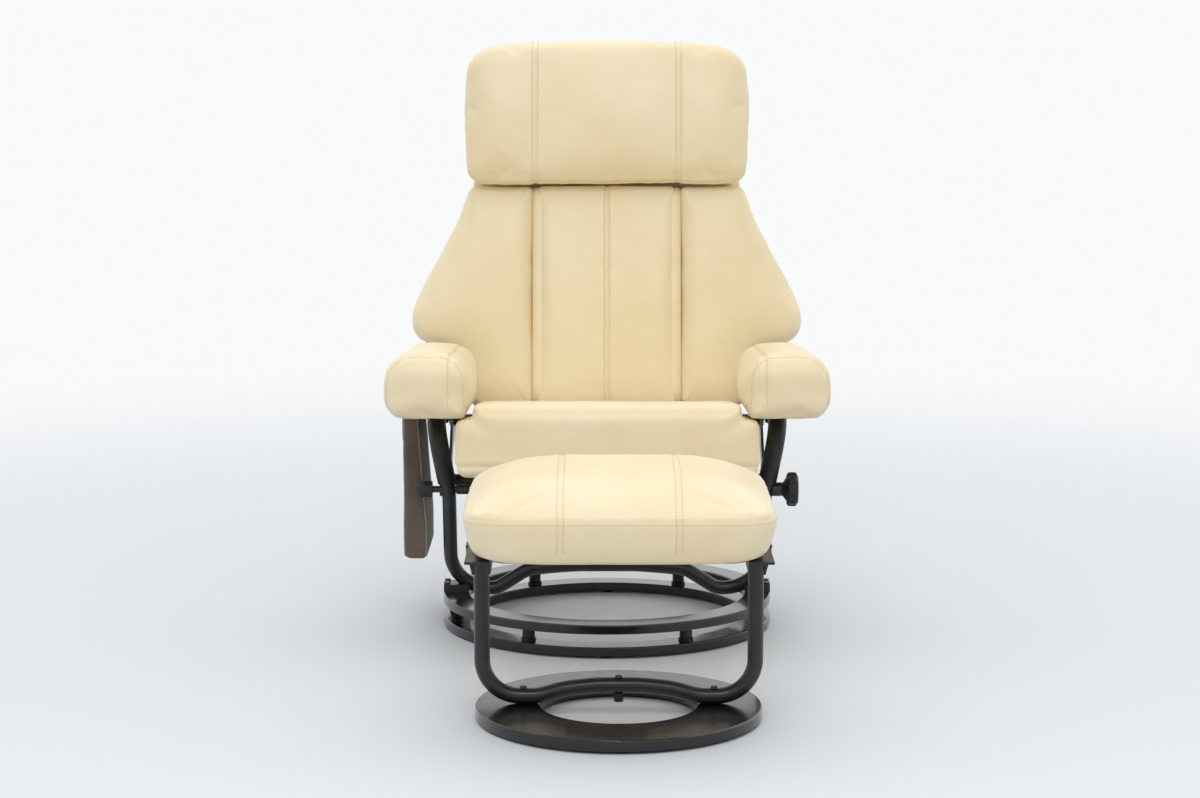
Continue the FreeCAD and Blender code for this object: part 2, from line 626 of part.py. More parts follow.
clip_l = doc.addObject("Part::Compound", "clips_left")
clip_l.Links = clip_cut
pair("arm_clips", clip_l)

# ======================================================================= seat
st = g("seat_tilt")
seat_rot = FreeCAD.Rotation(X_AX, -st)
seat_base = V(0, g("seat_front_y"), g("seat_bot_z"))
SP = FreeCAD.Placement(seat_base, seat_rot)
hw, tw, sh = g("seat_half"), g("seat_top_half"), g("seat_h")
sec = [(-hw + 14, 0), (hw - 14, 0), (hw, 16), (hw, 80), (hw - 8, 93), (tw + 4, 99), (tw, sh - 12), (tw - 10, sh),
       (-tw + 10, sh), (-tw, sh - 12), (-tw - 4, 99), (-hw + 8, 93), (-hw, 80), (-hw, 16)]
seat_pr = prism("seat_section", sec, "XZ_Plane", "seat_len", reverse=True)
doc.recompute()
front_edges = [e for e in seat_pr.Shape.Edges]
seat_rec = box("seat_recess", "2 * seat_half - 60", "seat_len - 50", "32", (-(hw - 30), 25, -2))
seat_soft = cut("seat_foam", seat_pr, seat_rec)
front_round = doc.addObject("Part::Feature", "seat_front_tool")
nose = Part.makeBox(2 * hw + 40, 40, 40, V(-hw - 20, -1, sh - 30))
noc = Part.makeCylinder(30, 2 * hw + 40, V(-hw - 20, 30, sh - 30), X_AX)
nose = Part.makeBox(2 * hw + 40, 31, 31, V(-hw - 20, -1, sh - 30)).cut(noc)
front_round.Shape = nose
# channel under the rear edge through which the lead of the mains adapter reaches the inlet
lead_way = box("seat_lead_channel", "18", "40", "8", (-9, 420, -1))
seat_soft2 = cut("seat_foam_round", cut("seat_foam_channelled", seat_soft, lead_way), front_round)
seat_soft2.Placement = SP
keep(seat_soft2, "seat_cushion")

fr_o = box("seat_frame_out", "2 * seat_half - 62", "seat_len - 52", "seat_frame_th", (-(hw - 31), 26, 13))
fr_i = box("seat_frame_in", "2 * seat_half - 182", "seat_len - 172", "40", (-(hw - 91), 86, 0))
fr = cut("seat_frame_ring", fr_o, fr_i)
fr.Placement = SP
keep(fr, "seat_frame")
web = box("webbing_strap", "46", "seat_len - 132", "1.5", (-155, 66, 28.1))
webs = group("webbing_set", web, [shift(i * 66.0, 0, 0) for i in range(5)])
webs.Placement = SP
keep(webs, "seat_webbing")

# side brackets with the slots in which the clamp studs run
bl = [(176, -48), (326, -48), (340, -34), (340, 13), (160, 13), (160, -34)]
brk = prism("seat_bracket", bl, "YZ_Plane", "bracket_th", offset=-bx0)
rel = SP.inverse().multVec(V(0, sy, sz))
slot_pts = box("slot_box", "40", "slot_run + 2", "slot_wid", (-bx0 - 10, rel.y - 1, rel.z - g("slot_wid") / 2))
slot_e = [cylx("slot_end_%d" % k, "slot_wid / 2", "40", (-bx0 - 10, rel.y - 1 + k * (g("slot_run") + 2), rel.z))
          for k in (0, 1)]
slot_all = fuse("slot_cutter", [slot_pts] + slot_e)
brk_flange = box("bracket_flange", "24", "180", "4", (-g("bracket_x"), 160, 9))
brk2 = cut("bracket_slotted", fuse("bracket_body", [brk, brk_flange]), slot_all)
brk2.Placement = SP
pair("seat_brackets", brk2)

# vibration motors under the webbing, held on a cross board
mboard = box("motor_board", "390", "90", "6", (-195, 60, 7))
mboard.Placement = SP.multiply(mboard.Placement)
keep(mboard, "seat_motor_board")
mot = cyl("seat_motor_can", "21", "26", (-90, 105, -19.1))
mots = group("seat_motor_set", mot, [shift(0, 0, 0), shift(180, 0, 0)])
mots.Placement = SP
keep(mots, "seat_motors")

# control box with its lid and power inlet, under the rear of the seat frame
cb = box("box_blank", "150", "70", "34", (-75, 270, -24))
cbi = box("box_void", "144", "64", "40", (-72, 273, -21))
cbb = cut("box_open", cb, cbi)
inl_hole = cyl("inlet_hole", "5.5", "20", (0, 330, 1), (1, 0, 0), -90)
cbc = cut("box_cut", cbb, inl_hole)
cbc.Placement = SP
keep(cbc, "control_box")
cl = box("box_lid", "150", "136", "3", (0, 0, 0))
cl.Placement = SP.multiply(shift(-75, 270, 10))
keep(cl, "control_box_lid")
pcb = box("pcb_blank", "130", "46", "1.6", (0, 0, 0))
pcb.Placement = SP.multiply(shift(-65, 276, -16))
keep(pcb, "control_pcb")
run = box("runner", "40", "55", "13.5", (-220, 372, -0.5))
runs = group("runner_set", run, [shift(0, 0, 0), shift(400, 0, 0)])
runs.Placement = SP
keep(runs, "seat_runners")
inl0 = cyl("inlet_body", "5.4", "14", (0, 0, 0), (1, 0, 0), -90)
inl1 = cyl("inlet_flange", "8", "2", (0, 0, 0), (1, 0, 0), -90)
inl1.Placement = shift(0, 14.0, 0, (1, 0, 0), -90)
inl2 = cyl("inlet_bore", "3", "14", (0, 0, 0), (1, 0, 0), -90)
inl2.Placement = shift(0, 4.5, 0, (1, 0, 0), -90)
inl = cut("inlet_cut", fuse("inlet_solid", [inl0, inl1]), inl2)
inl.Placement = SP.multiply(shift(0, 326.0, 1, (0, 1, 0), 23))
keep(inl, "power_inlet")

# =================================================================== backrest
lean = g("back_lean")
BP = FreeCAD.Placement(V(0, g("back_y"), g("back_z")), FreeCAD.Rotation(X_AX, -lean))
cl14 = math.cos(math.radians(lean))


def vz(z):
    """Height along the lean for a world height at the front of the back."""
    return (z - g("back_z") - 15.0) / cl14


right = [(258, 24), (262, vz(450)), (272, vz(476)), (302, vz(490)), (342, vz(500)), (362, vz(520)), (363, vz(548)),
         (340, vz(596)), (304, vz(662)), (274, vz(722)), (258, vz(790)), (250, vz(900)), (240, vz(1000)), (214, vz(1034))]
outline = right + [(-x, z) for x, z in reversed(right)]
cush_off = 2.5
step = g("head_low") - 3.0
bol_pts = [(g("centre_half") + 1, 24)] + [q for q in right if q[1] < step - 2] + [(258, step), (g("centre_half") + 1, step)]
bol_r = prism("bolster_right", bol_pts, "XZ_Plane", "cush_th", offset=cush_off)
bol_r.Placement = BP
doc.recompute()
keep(bol_r, "side_bolster_right")
keep(mirror("bolster_left", bol_r), "side_bolster_left")
ch = g("centre_half")
cen = prism("centre_pad", [(-ch, 24), (ch, 24), (ch, step), (-ch, step)], "XZ_Plane", "cush_th", offset=cush_off)
cen.Placement = BP
keep(cen, "back_cushion")
up_pts = [(-256, step + 2), (256, step + 2)] + [(x, z) for x, z in right if z > step + 4] + \
         [(-x, z) for x, z in reversed(right) if z > step + 4]
upc = prism("upper_pad", up_pts, "XZ_Plane", "head_back - 4.5", offset=cush_off)
upc.Placement = BP
keep(upc, "upper_back_pad")
hh, hl, ht = g("head_half"), g("head_low"), g("head_high")
hd0 = box("head_blank", "2 * head_half", "head_front - head_back", "head_high - head_low", (0, 0, 0))
hd = fillet("head_rounded", hd0, 30.0, lambda e: True)
hd.Placement = BP.multiply(shift(-hh, -g("head_front"), hl))
keep(hd, "headrest_pillow")

board_pts = inset(outline, 10.0)
# tube frame behind the board, pivot tube at its foot
bty = g("board_th") + g("back_tube_rad") + 0.2
hl_loc = BP.inverse().multVec(V(0, hy, hz))
bth = g("back_tube_half")
frame_pts = [(-bth, hl_loc.y, hl_loc.z), (-bth, bty, 60), (-bth, bty, 640), (bth, bty, 640), (bth, bty, 60),
             (bth, hl_loc.y, hl_loc.z)]
bt = tube("back_tube", frame_pts, [60.0, 70.0, 70.0, 60.0], "back_tube_rad", "tube_wall")
piv_tool = doc.addObject("Part::Feature", "pivot_tube_tool")
piv_tool.Shape = Part.makeCylinder(g("pivot_rad"), 600, V(-300, hl_loc.y, hl_loc.z), X_AX)
btc = cut("back_frame_coped", bt, piv_tool)
doc.recompute()
bt_pick = doc.addObject("Part::Feature", "back_frame_tube")
bt_pick.Shape = sorted(btc.Shape.Solids, key=lambda q: -q.Volume)[0]
bt_pick.Placement = BP
keep(bt_pick, "back_frame")
bt_tool = doc.addObject("Part::Feature", "back_tube_clearance")
bt_tool.Shape = doc.getObject("back_tube_outer").Shape.copy()
brd = prism("board_outline", board_pts, "XZ_Plane", "board_th", reverse=True)
brd2 = cut("board_notched", brd, bt_tool)
brd2.Placement = BP
keep(brd2, "back_board")
sh_out = inset(outline, 2.0)
sh_in = inset(outline, 2.0 + g("shell_wall"))
shl = prism("shell_outer", sh_out, "XZ_Plane", "shell_dep + shell_wall", offset=-(g("board_th") + 0.5 + g("shell_dep") + g("shell_wall")))
shi = prism("shell_inner", sh_in, "XZ_Plane", "shell_dep + 10", offset=-(g("board_th") + 0.5 + g("shell_dep")))
shell = cut("shell_hollow", shl, shi)
# open foot of the shell: the pivot tube and the frame ends leave here
foot_tool = box("shell_foot_open", "2 * back_tube_half + 60", "60", "60", (-(g("back_tube_half") + 30), 13, -30))
shell2 = cut("shell_open", cut("shell_open_a", shell, foot_tool), bt_tool)
shell2.Placement = BP
keep(shell2, "back_shell")

pv0 = cylx("pivot_out", "pivot_rad", "2 * pivot_half", (-g("pivot_half"), hy, hz))
pv1 = cylx("pivot_bore", "bolt_rad + 0.06", "2 * pivot_half", (-g("pivot_half"), hy, hz))
keep(cut("pivot_tube", pv0, pv1), "pivot_tube")
bmot = cyl("back_motor_can", "23", "26", (0, 0, 0))
bmot.Placement = shift(-80, g("board_th") + 0.2, 150, (1, 0, 0), -90)
bms = group("back_motor_set", bmot, [shift(0, 0, 0), shift(160, 0, 0), shift(0, 0, 250), shift(160, 0, 250)])
bms.Placement = BP
keep(bms, "back_motors")
# ================================================================ side pocket
px, py0, pl = g("pock_out"), g("pock_y0"), g("pock_len")
pt, pb, pm, pw = g("pock_top"), g("pock_bot"), g("pock_mouth"), g("pock_wall")
inner_top, inner_bot = 340.0, 326.0        # |X| of the inner panel at top and bottom
outer = [(-px, pb + 10), (-px + 8, pb), (-inner_bot, pb), (-inner_bot, pb + 70), (-inner_top, pt), (-px, pt)]
inner = [(-px + pw, pb + 10), (-px + 9, pb + pw), (-inner_bot - pw, pb + pw), (-inner_bot - pw, pb + 70.5),
         (-inner_top - pw, pt + 5), (-px + pw, pt + 5)]
pk_o = prism("pocket_outer", outer, "XZ_Plane", "pock_len", reverse=True)
pk_i = prism("pocket_inner", inner, "XZ_Plane", "pock_len - 2 * pock_wall", offset=-g("pock_wall"), reverse=True)
pk1 = cut("pocket_hollow", pk_o, pk_i)
mouth = box("pocket_mouth", "30", "pock_len - 40", "60", (-px - 10, 20, pm))
pk2 = cut("pocket_mouthed", pk1, mouth)
pk2.Placement = shift(0, py0, 0)
# the inner panel runs on up to the underside of the armrest
hang = box("pocket_hanger", "pock_wall", "pock_len - 40", "60", (-inner_top - pw, py0 + 20, pt - 8))
pk3 = cut("pocket_hung", fuse("pocket_all", [pk2, hang]), top_copy)
doc.recompute()
pk_pick = doc.addObject("Part::Feature", "pocket_piece")
pk_pick.Shape = sorted(pk3.Shape.Solids, key=lambda q: -q.Volume)[0].removeSplitter()
keep(pk_pick, "side_pocket")
# handset standing in the pocket, keys facing outwards
hzb = pb + pw + 0.4
hs0_ = box("handset_blank", "hs_th", "hs_wid", "hs_len", (0, 0, 0))
hsr = fillet("handset_round", hs0_, 6.0, lambda e: True)
btn_zs = [(0.0, 112.0), (0.0, 90.0), (-13.0, 66.0), (13.0, 66.0)]
bores = group("key_holes", cylx("key_hole", "btn_rad + 0.3", "6", (-1, 27, 0)), [shift(0, y, z) for y, z in btn_zs])
hsc = cut("handset_bored", hsr, bores)
hs_sock = box("handset_socket", "6", "12", "9", (5, 21, -1))
hsc2 = cut("handset_socketed", hsc, hs_sock)
HP = shift(-px + pw + 3.5, py0 + 60, hzb)
hsc2.Placement = HP
keep(hsc2, "handset_case")
key_names = ["key_power", "key_mode", "key_weaker", "key_stronger"]
for nm, (yy, zz) in zip(key_names, btn_zs):
    k0 = cylx(nm + "_cap", "btn_rad", "5", (-1.5, 27 + yy, zz))
    kf = fillet(nm + "_soft", k0, 0.8, lambda e: isinstance(e.Curve, Part.Circle) and e.CenterOfMass.x < -1)
    kf.Placement = HP
    keep(kf, nm)

# ================================================================== footstool
sx, syy = g("st_x"), g("st_y")
sring = ring_body("stool_plate", "st_ro", "st_ri", "st_th", g("pad_th"))
place(sring, (sx, syy, g("pad_th")))
keep(sring, "stool_ring")
sp = revolve("stool_pad_disc", [(0, 0), (13.5, 0), (15, 1.5), (15, g("pad_th")), (0, g("pad_th"))])
place(sp, (0, -(g("st_ro") - 24), 0))
sps = group("stool_pad_set", sp, [shift(sx, syy, 0, (0, 0, 1), a) for a in (0, 90, 180, 270)])
keep(sps, "stool_pads")
zr = g("pad_th") + g("st_th")
lh = g("st_leg_half")
tr_ = g("tube_rad")
hs_ = [(sx - lh, syy, g("st_leg_top")), (sx - lh, syy, zr + tr_), (sx - 126, syy, zr + tr_), (sx - 86, syy, zr + tr_ + 12),
       (sx - 34, syy, g("st_arch_z"))]
spts = hs_ + [(2 * sx - x, y, z) for x, y, z in reversed(hs_)]
stube = tube("stool_tube", spts, [60.0, 80.0, 200.0, 260.0, 260.0, 200.0, 80.0, 60.0], "tube_rad", "tube_wall")
bh = cyl("stool_bolt_hole", "4", "80", (sx, syy, 20))
fh_set = group("stool_foot_holes", cyl("foot_hole", "3", "60", (0, syy, 10)), [shift(sx - 151, 0, 0), shift(sx + 151, 0, 0)])
keep(cut("stool_tube_bored", cut("stool_tube_bored_a", stube, bh), fh_set), "stool_frame")
# the two bolts that hold the legs to the ring, and the one in the middle of the arch
doc.recompute()
fb = revolve("stool_foot_bolt", [(0, zr), (2.9, zr), (2.9, zr + 2 * tr_ + 0.1), (6, zr + 2 * tr_ + 0.1),
                                 (5, zr + 2 * tr_ + 3.5), (0, zr + 2 * tr_ + 4)])
place(fb, (0, syy, 0))
fbs = group("stool_bolt_set", fb, [shift(sx - 151, 0, 0), shift(sx + 151, 0, 0)])
am = g("st_arch_z")
ab = revolve("arch_bolt_turned", [(0, am - 26), (7.5, am - 26), (7.5, am - tr_ - 0.2), (4, am - tr_ - 0.2), (4, am + tr_ + 0.2),
                                  (6.5, am + tr_ + 0.2), (5.5, am + tr_ + 3.2), (0, am + tr_ + 4)])
place(ab, (sx, syy, 0))
sbc = doc.addObject("Part::Compound", "stool_bolt_all")
sbc.Links = [fbs, ab]
keep(sbc, "stool_bolts")
# rails and board under the stool cushion
rl_pts = [(0, 0), (34, 0), (34, 4), (4, 4), (4, 22), (0, 22)]
lt = g("st_leg_top")
rail_w = box("stool_rail_web", "40", "300", "4", (sx - lh - 20, syy - 150, lt))
rail_v = box("stool_rail_lip", "4", "300", "14", (sx - lh + 16, syy - 150, lt - 14))
rail_t = box("stool_rail_tab", "28", "34", "4", (sx - lh - 24, syy - 17, lt))
# wedge-shaped gussets outside the tops of the legs, before and behind the middle of the tube
gus_pts = [(sx - lh - 24, lt), (sx - lh - tr_, lt), (sx - lh - tr_, lt - 46), (sx - lh - 15, lt - 46), (sx - lh - 24, lt - 12)]
gus = prism("stool_gusset", gus_pts, "XZ_Plane", "5", offset=-(syy + 2.5))
rail_l = fuse("stool_rail_l", [rail_w, rail_v, rail_t, gus])
pair("stool_rails", rail_l, sx)
sb = box("stool_board_blank", "2 * st_half - 76", "st_dep - 76", "st_board_th", (sx - g("st_half") + 38, syy - g("st_dep") / 2 + 38, lt + 4))
keep(fillet("stool_board_round", sb, 36.0, lambda e: is_vertical(e)), "stool_board")
sc = box("stool_cush_blank", "2 * st_half", "st_dep", "st_cush_h", (0, 0, 0))
scf = fillet("stool_cush_round", sc, 45.0, lambda e: is_vertical(e))
scf2 = fillet("stool_cush_round2", scf, 40.0, lambda e: e.CenterOfMass.z > g("st_cush_h") - 1)
rec = box("stool_cush_recess", "2 * st_half - 75", "st_dep - 75", "10", (37.5, 37.5, -9 + g("st_board_th") + lt + 4 - g("st_cush_bot") + 0.3))
scc = cut("stool_cush", scf2, rec)
scc.Placement = shift(sx - g("st_half"), syy - g("st_dep") / 2, g("st_cush_bot"))
keep(scc, "stool_cushion")

# ================================================================= write out
doc.recompute()
bad = [o.Label for o in doc.Objects if any(s in ("Invalid", "Error") for s in o.State)]
if bad:
    raise SystemExit("failed objects: " + ", ".join(bad))
labels = [o.Label for o in NODES]
if len(set(labels)) != len(labels):
    raise SystemExit("labels repeat")
for o in NODES:
    s = o.Shape
    if s.isNull() or not s.isValid() or not s.Solids:
        raise SystemExit("bad shape: %s null=%s valid=%s" % (o.Label, s.isNull(), s.isValid()))
for f in os.listdir("parts"):
    if f.endswith(".step") and f[:-5] not in labels:
        os.remove(os.path.join("parts", f))
for o in NODES:
    o.Shape.exportStep("parts/%s.step" % o.Label)
    bb = o.Shape.optimalBoundingBox(False, False)
    print("%-22s solids %2d  x %7.1f %7.1f  y %7.1f %7.1f  z %7.1f %7.1f" %
          (o.Label, len(o.Shape.Solids), bb.XMin, bb.XMax, bb.YMin, bb.YMax, bb.ZMin, bb.ZMax))
print(len(NODES), "nodes written")
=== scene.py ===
"""Looks of the massage recliner with footstool.

Everything is in metres in the part's own frame: +Z up, the chair faces -Y,
the origin is on the swivel axis at floor level.
"""
import bpy
import bmesh
import json
import math
import numpy as np
from mathutils import Matrix, Vector
from mathutils.bvhtree import BVHTree


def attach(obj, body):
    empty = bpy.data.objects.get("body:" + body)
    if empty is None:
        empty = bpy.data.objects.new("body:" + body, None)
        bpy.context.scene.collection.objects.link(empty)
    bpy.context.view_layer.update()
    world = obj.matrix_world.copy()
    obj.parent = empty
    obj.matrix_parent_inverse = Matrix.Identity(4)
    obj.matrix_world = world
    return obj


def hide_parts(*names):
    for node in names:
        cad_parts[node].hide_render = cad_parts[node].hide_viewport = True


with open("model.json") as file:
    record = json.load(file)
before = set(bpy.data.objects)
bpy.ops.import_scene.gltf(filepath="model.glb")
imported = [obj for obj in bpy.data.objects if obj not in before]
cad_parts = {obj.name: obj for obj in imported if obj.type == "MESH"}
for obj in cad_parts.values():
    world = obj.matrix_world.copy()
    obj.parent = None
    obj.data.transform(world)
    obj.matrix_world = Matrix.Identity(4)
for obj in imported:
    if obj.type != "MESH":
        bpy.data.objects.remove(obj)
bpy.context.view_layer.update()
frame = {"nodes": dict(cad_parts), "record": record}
scene = bpy.context.scene
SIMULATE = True
rad = math.radians

# ------------------------------------------------------------------ placements
BACK = Matrix.Translation((0, 0.256, 0.345)) @ Matrix.Rotation(rad(-14), 4, "X")
SEAT = Matrix.Translation((0, -0.290, 0.316)) @ Matrix.Rotation(rad(-8), 4, "X")
ARM = Matrix.Translation((-0.386, -0.290, 0.416)) @ Matrix.Rotation(rad(-4), 4, "X")
STOOL = Matrix.Translation((0.017, -0.694, 0.0))
FLIP = Matrix.Scale(-1, 4, (1, 0, 0))

# ---------------------------------------------------------------------- camera
cam_data = bpy.data.cameras.new("camera")
cam_data.sensor_width = 36.0
cam_data.lens = 83.6
cam_data.clip_start, cam_data.clip_end = 0.05, 300.0
cam = bpy.data.objects.new("camera", cam_data)
cam.location = (-0.0126, -5.0, 1.116)
cam.rotation_euler = (rad(90 - 8.02), 0, 0)
scene.collection.objects.link(cam)
scene.camera = cam


# ------------------------------------------------------------------- materials
def srgb(r, g, b):
    """Linear colour of an 8-bit one."""
    out = []
    for c in (r, g, b):
        c = c / 255.0
        out.append(c / 12.92 if c <= 0.04045 else ((c + 0.055) / 1.055) ** 2.4)
    return (*out, 1.0)


class Nodes:
    """A material being wired: object coordinates in, one shader out."""

    def __init__(self, name, roughness=0.5, metallic=0.0, specular=0.5, coat=0.0, coat_rough=0.1, sheen=0.0,
                 sheen_rough=0.5):
        self.mat = bpy.data.materials.new(name)
        self.mat.use_nodes = True
        self.t = self.mat.node_tree
        self.t.nodes.clear()
        self.out = self.t.nodes.new("ShaderNodeOutputMaterial")
        self.b = self.t.nodes.new("ShaderNodeBsdfPrincipled")
        self.t.links.new(self.b.outputs[0], self.out.inputs[0])
        self.b.inputs["Roughness"].default_value = roughness
        self.b.inputs["Metallic"].default_value = metallic
        self.b.inputs["Specular IOR Level"].default_value = specular
        self.b.inputs["Coat Weight"].default_value = coat
        self.b.inputs["Coat Roughness"].default_value = coat_rough
        self.b.inputs["Sheen Weight"].default_value = sheen
        self.b.inputs["Sheen Roughness"].default_value = sheen_rough
        self.co = self.t.nodes.new("ShaderNodeTexCoord").outputs["Object"]
        self.normal = None

    def link(self, a, b):
        self.t.links.new(a, b)

    def scaled(self, x, y, z, turn=(0, 0, 0)):
        m = self.t.nodes.new("ShaderNodeMapping")
        m.inputs["Scale"].default_value = (x, y, z)
        m.inputs["Rotation"].default_value = turn
        self.link(self.co, m.inputs["Vector"])
        return m.outputs[0]

    def noise(self, scale, detail=2.0, rough=0.5, vec=None, distort=0.0):
        n = self.t.nodes.new("ShaderNodeTexNoise")
        n.inputs["Scale"].default_value = scale
        n.inputs["Detail"].default_value = detail
        n.inputs["Roughness"].default_value = rough
        n.inputs["Distortion"].default_value = distort
        self.link(vec or self.co, n.inputs["Vector"])
        return n.outputs["Fac"]

    def voronoi(self, scale, feature="F1", vec=None, smooth=None, random=1.0):
        n = self.t.nodes.new("ShaderNodeTexVoronoi")
        n.feature = feature
        n.inputs["Scale"].default_value = scale
        n.inputs["Randomness"].default_value = random
        if smooth is not None and "Smoothness" in n.inputs:
            n.inputs["Smoothness"].default_value = smooth
        self.link(vec or self.co, n.inputs["Vector"])
        return n.outputs["Distance"]

    def wave(self, scale, direction="X", vec=None, distort=0.0, profile="SIN"):
        n = self.t.nodes.new("ShaderNodeTexWave")
        n.wave_type = "BANDS"
        n.bands_direction = direction
        n.wave_profile = profile
        n.inputs["Scale"].default_value = scale
        n.inputs["Distortion"].default_value = distort
        self.link(vec or self.co, n.inputs["Vector"])
        return n.outputs["Fac"]

    def span(self, fac, lo, hi, a, b):
        n = self.t.nodes.new("ShaderNodeMapRange")
        n.inputs["From Min"].default_value = lo
        n.inputs["From Max"].default_value = hi
        n.inputs["To Min"].default_value = a
        n.inputs["To Max"].default_value = b
        self.link(fac, n.inputs["Value"])
        return n.outputs["Result"]

    def math(self, op, a, b=None):
        n = self.t.nodes.new("ShaderNodeMath")
        n.operation = op
        for i, v in enumerate((a, b)):
            if v is None:
                continue
            if isinstance(v, (int, float)):
                n.inputs[i].default_value = v
            else:
                self.link(v, n.inputs[i])
        return n.outputs[0]

    def ramp(self, fac, *stops):
        n = self.t.nodes.new("ShaderNodeValToRGB")
        r = n.color_ramp
        while len(r.elements) < len(stops):
            r.elements.new(0.5)
        for e, (p, c) in zip(r.elements, stops):
            e.position, e.color = p, c
        self.link(fac, n.inputs[0])
        return n.outputs[0]

    def mix(self, fac, a, b, how="MIX"):
        n = self.t.nodes.new("ShaderNodeMix")
        n.data_type = "RGBA"
        n.blend_type = how
        if isinstance(fac, (int, float)):
            n.inputs[0].default_value = fac
        else:
            self.link(fac, n.inputs[0])
        for i, v in ((6, a), (7, b)):
            if isinstance(v, tuple):
                n.inputs[i].default_value = v
            else:
                self.link(v, n.inputs[i])
        return n.outputs[2]

    def colour(self, c):
        self.link(c, self.b.inputs["Base Color"])

    def rough(self, fac, lo, hi):
        self.link(self.span(fac, 0.25, 0.75, lo, hi), self.b.inputs["Roughness"])

    def bump(self, height, distance, strength=1.0):
        n = self.t.nodes.new("ShaderNodeBump")
        n.inputs["Strength"].default_value = strength
        n.inputs["Distance"].default_value = distance
        self.link(height, n.inputs["Height"])
        if self.normal is not None:
            self.link(self.normal, n.inputs["Normal"])
        self.normal = n.outputs[0]

    def done(self):
        if self.normal is not None:
            self.link(self.normal, self.b.inputs["Normal"])
        return self.mat


def leather(name, base, light, dark, seam_dark=None):
    """Grained upholstery leather: pebble cells, pores, creases, slow tone drift."""
    n = Nodes(name, roughness=0.42, specular=0.5, coat=0.28, coat_rough=0.36, sheen=0.14, sheen_rough=0.4)
    drift = n.noise(5.0, 3.0, 0.55)
    tone = n.mix(0.42, base, n.ramp(drift, (0.30, dark), (0.52, base), (0.74, light)))
    cells = n.voronoi(620.0, "DISTANCE_TO_EDGE")
    valley = n.span(cells, 0.0, 0.16, 1.0, 0.0)
    pores = n.noise(2600.0, 2.0, 0.6)
    crease = n.noise(38.0, 4.0, 0.62, distort=0.6)
    soft = n.mix(n.math("MULTIPLY", valley, 0.16), tone, dark)
    n.colour(n.mix(n.span(crease, 0.55, 0.8, 0.0, 0.14), soft, light))
    n.rough(n.noise(60.0, 3.0, 0.6), 0.40, 0.54)
    n.bump(crease, 0.0012, 0.35)
    n.bump(n.voronoi(620.0, "SMOOTH_F1", smooth=0.35), 0.00022, 0.6)
    n.bump(pores, 0.00008, 0.5)
    return n.done()


def coated(name, colour, light, rough, coat, grain, depth):
    """Painted or powder coated steel."""
    n = Nodes(name, roughness=rough, specular=0.5, coat=coat, coat_rough=0.06)
    dust = n.noise(14.0, 5.0, 0.65)
    n.colour(n.ramp(dust, (0.42, colour), (0.78, light)))
    n.rough(n.noise(45.0, 4.0, 0.6), rough * 0.8, rough * 1.25)
    n.bump(n.noise(grain, 2.0, 0.5), depth, 0.5)
    return n.done()


def plastic(name, colour, light, rough, grain=900.0, depth=0.00010):
    """Moulded plastic with a fine spark-eroded texture."""
    n = Nodes(name, roughness=rough, specular=0.5)
    n.colour(n.ramp(n.noise(25.0, 3.0, 0.5), (0.35, colour), (0.75, light)))
    n.rough(n.noise(80.0, 3.0, 0.6), rough * 0.88, rough * 1.12)
    n.bump(n.voronoi(grain, "F1"), depth, 0.5)
    return n.done()


def metal(name, colour, light, rough, stretch=(900, 900, 12)):
    """Turned or drawn steel with fine lines."""
    n = Nodes(name, roughness=rough, metallic=1.0)
    lines = n.noise(1.0, 3.0, 0.6, vec=n.scaled(*stretch))
    n.colour(n.mix(n.span(lines, 0.3, 0.7, 0.0, 1.0), colour, light))
    n.rough(lines, rough * 0.8, rough * 1.3)
    n.bump(lines, 0.00005, 0.5)
    return n.done()


def woven(name, warp, weft, pitch, sheen=0.4, mottling=0.25):
    """Plain weave cloth; the pattern comes from the three object planes."""
    n = Nodes(name, roughness=0.9, specular=0.2, sheen=sheen, sheen_rough=0.5)
    k = 1.0 / pitch
    a = n.wave(k * 0.32, "Y", distort=0.6)
    b = n.wave(k * 0.32, "Z", distort=0.6)
    c = n.wave(k * 0.32, "X", distort=0.6)
    over = n.math("MULTIPLY", n.math("MAXIMUM", a, c), b)
    fibre = n.noise(k * 3.2, 2.0, 0.6)
    shade = n.mix(n.span(over, 0.05, 0.75, 0.0, 1.0), warp, weft)
    dusty = n.noise(22.0, 4.0, 0.6)
    n.colour(n.mix(n.span(dusty, 0.35, 0.75, 0.0, mottling), shade, weft))
    n.rough(fibre, 0.82, 0.97)
    n.bump(over, pitch * 0.35, 0.8)
    n.bump(fibre, pitch * 0.10, 0.6)
    return n.done()


def plywood(name):
    n = Nodes(name, roughness=0.62, specular=0.35)
    ply = n.wave(220.0, "Z", vec=n.scaled(1, 1, 1, (0.12, 0.0, 0.0)), distort=0.4)
    grain = n.noise(1.0, 5.0, 0.62, vec=n.scaled(10, 120, 120))
    tone = n.ramp(grain, (0.3, srgb(168, 128, 82)), (0.55, srgb(198, 160, 112)), (0.8, srgb(216, 184, 138)))
    n.colour(n.mix(n.math("MULTIPLY", ply, 0.18), tone, srgb(120, 84, 50)))
    n.rough(grain, 0.55, 0.72)
    n.bump(grain, 0.0003, 0.5)
    return n.done()


def circuit(name):
    n = Nodes(name, roughness=0.4, specular=0.5)
    tracks = n.wave(160.0, "X", distort=6.0)
    n.colour(n.mix(n.span(tracks, 0.45, 0.55, 0.0, 0.8), srgb(12, 74, 38), srgb(38, 118, 62)))
    n.rough(tracks, 0.34, 0.5)
    n.bump(tracks, 0.00004, 0.6)
    return n.done()


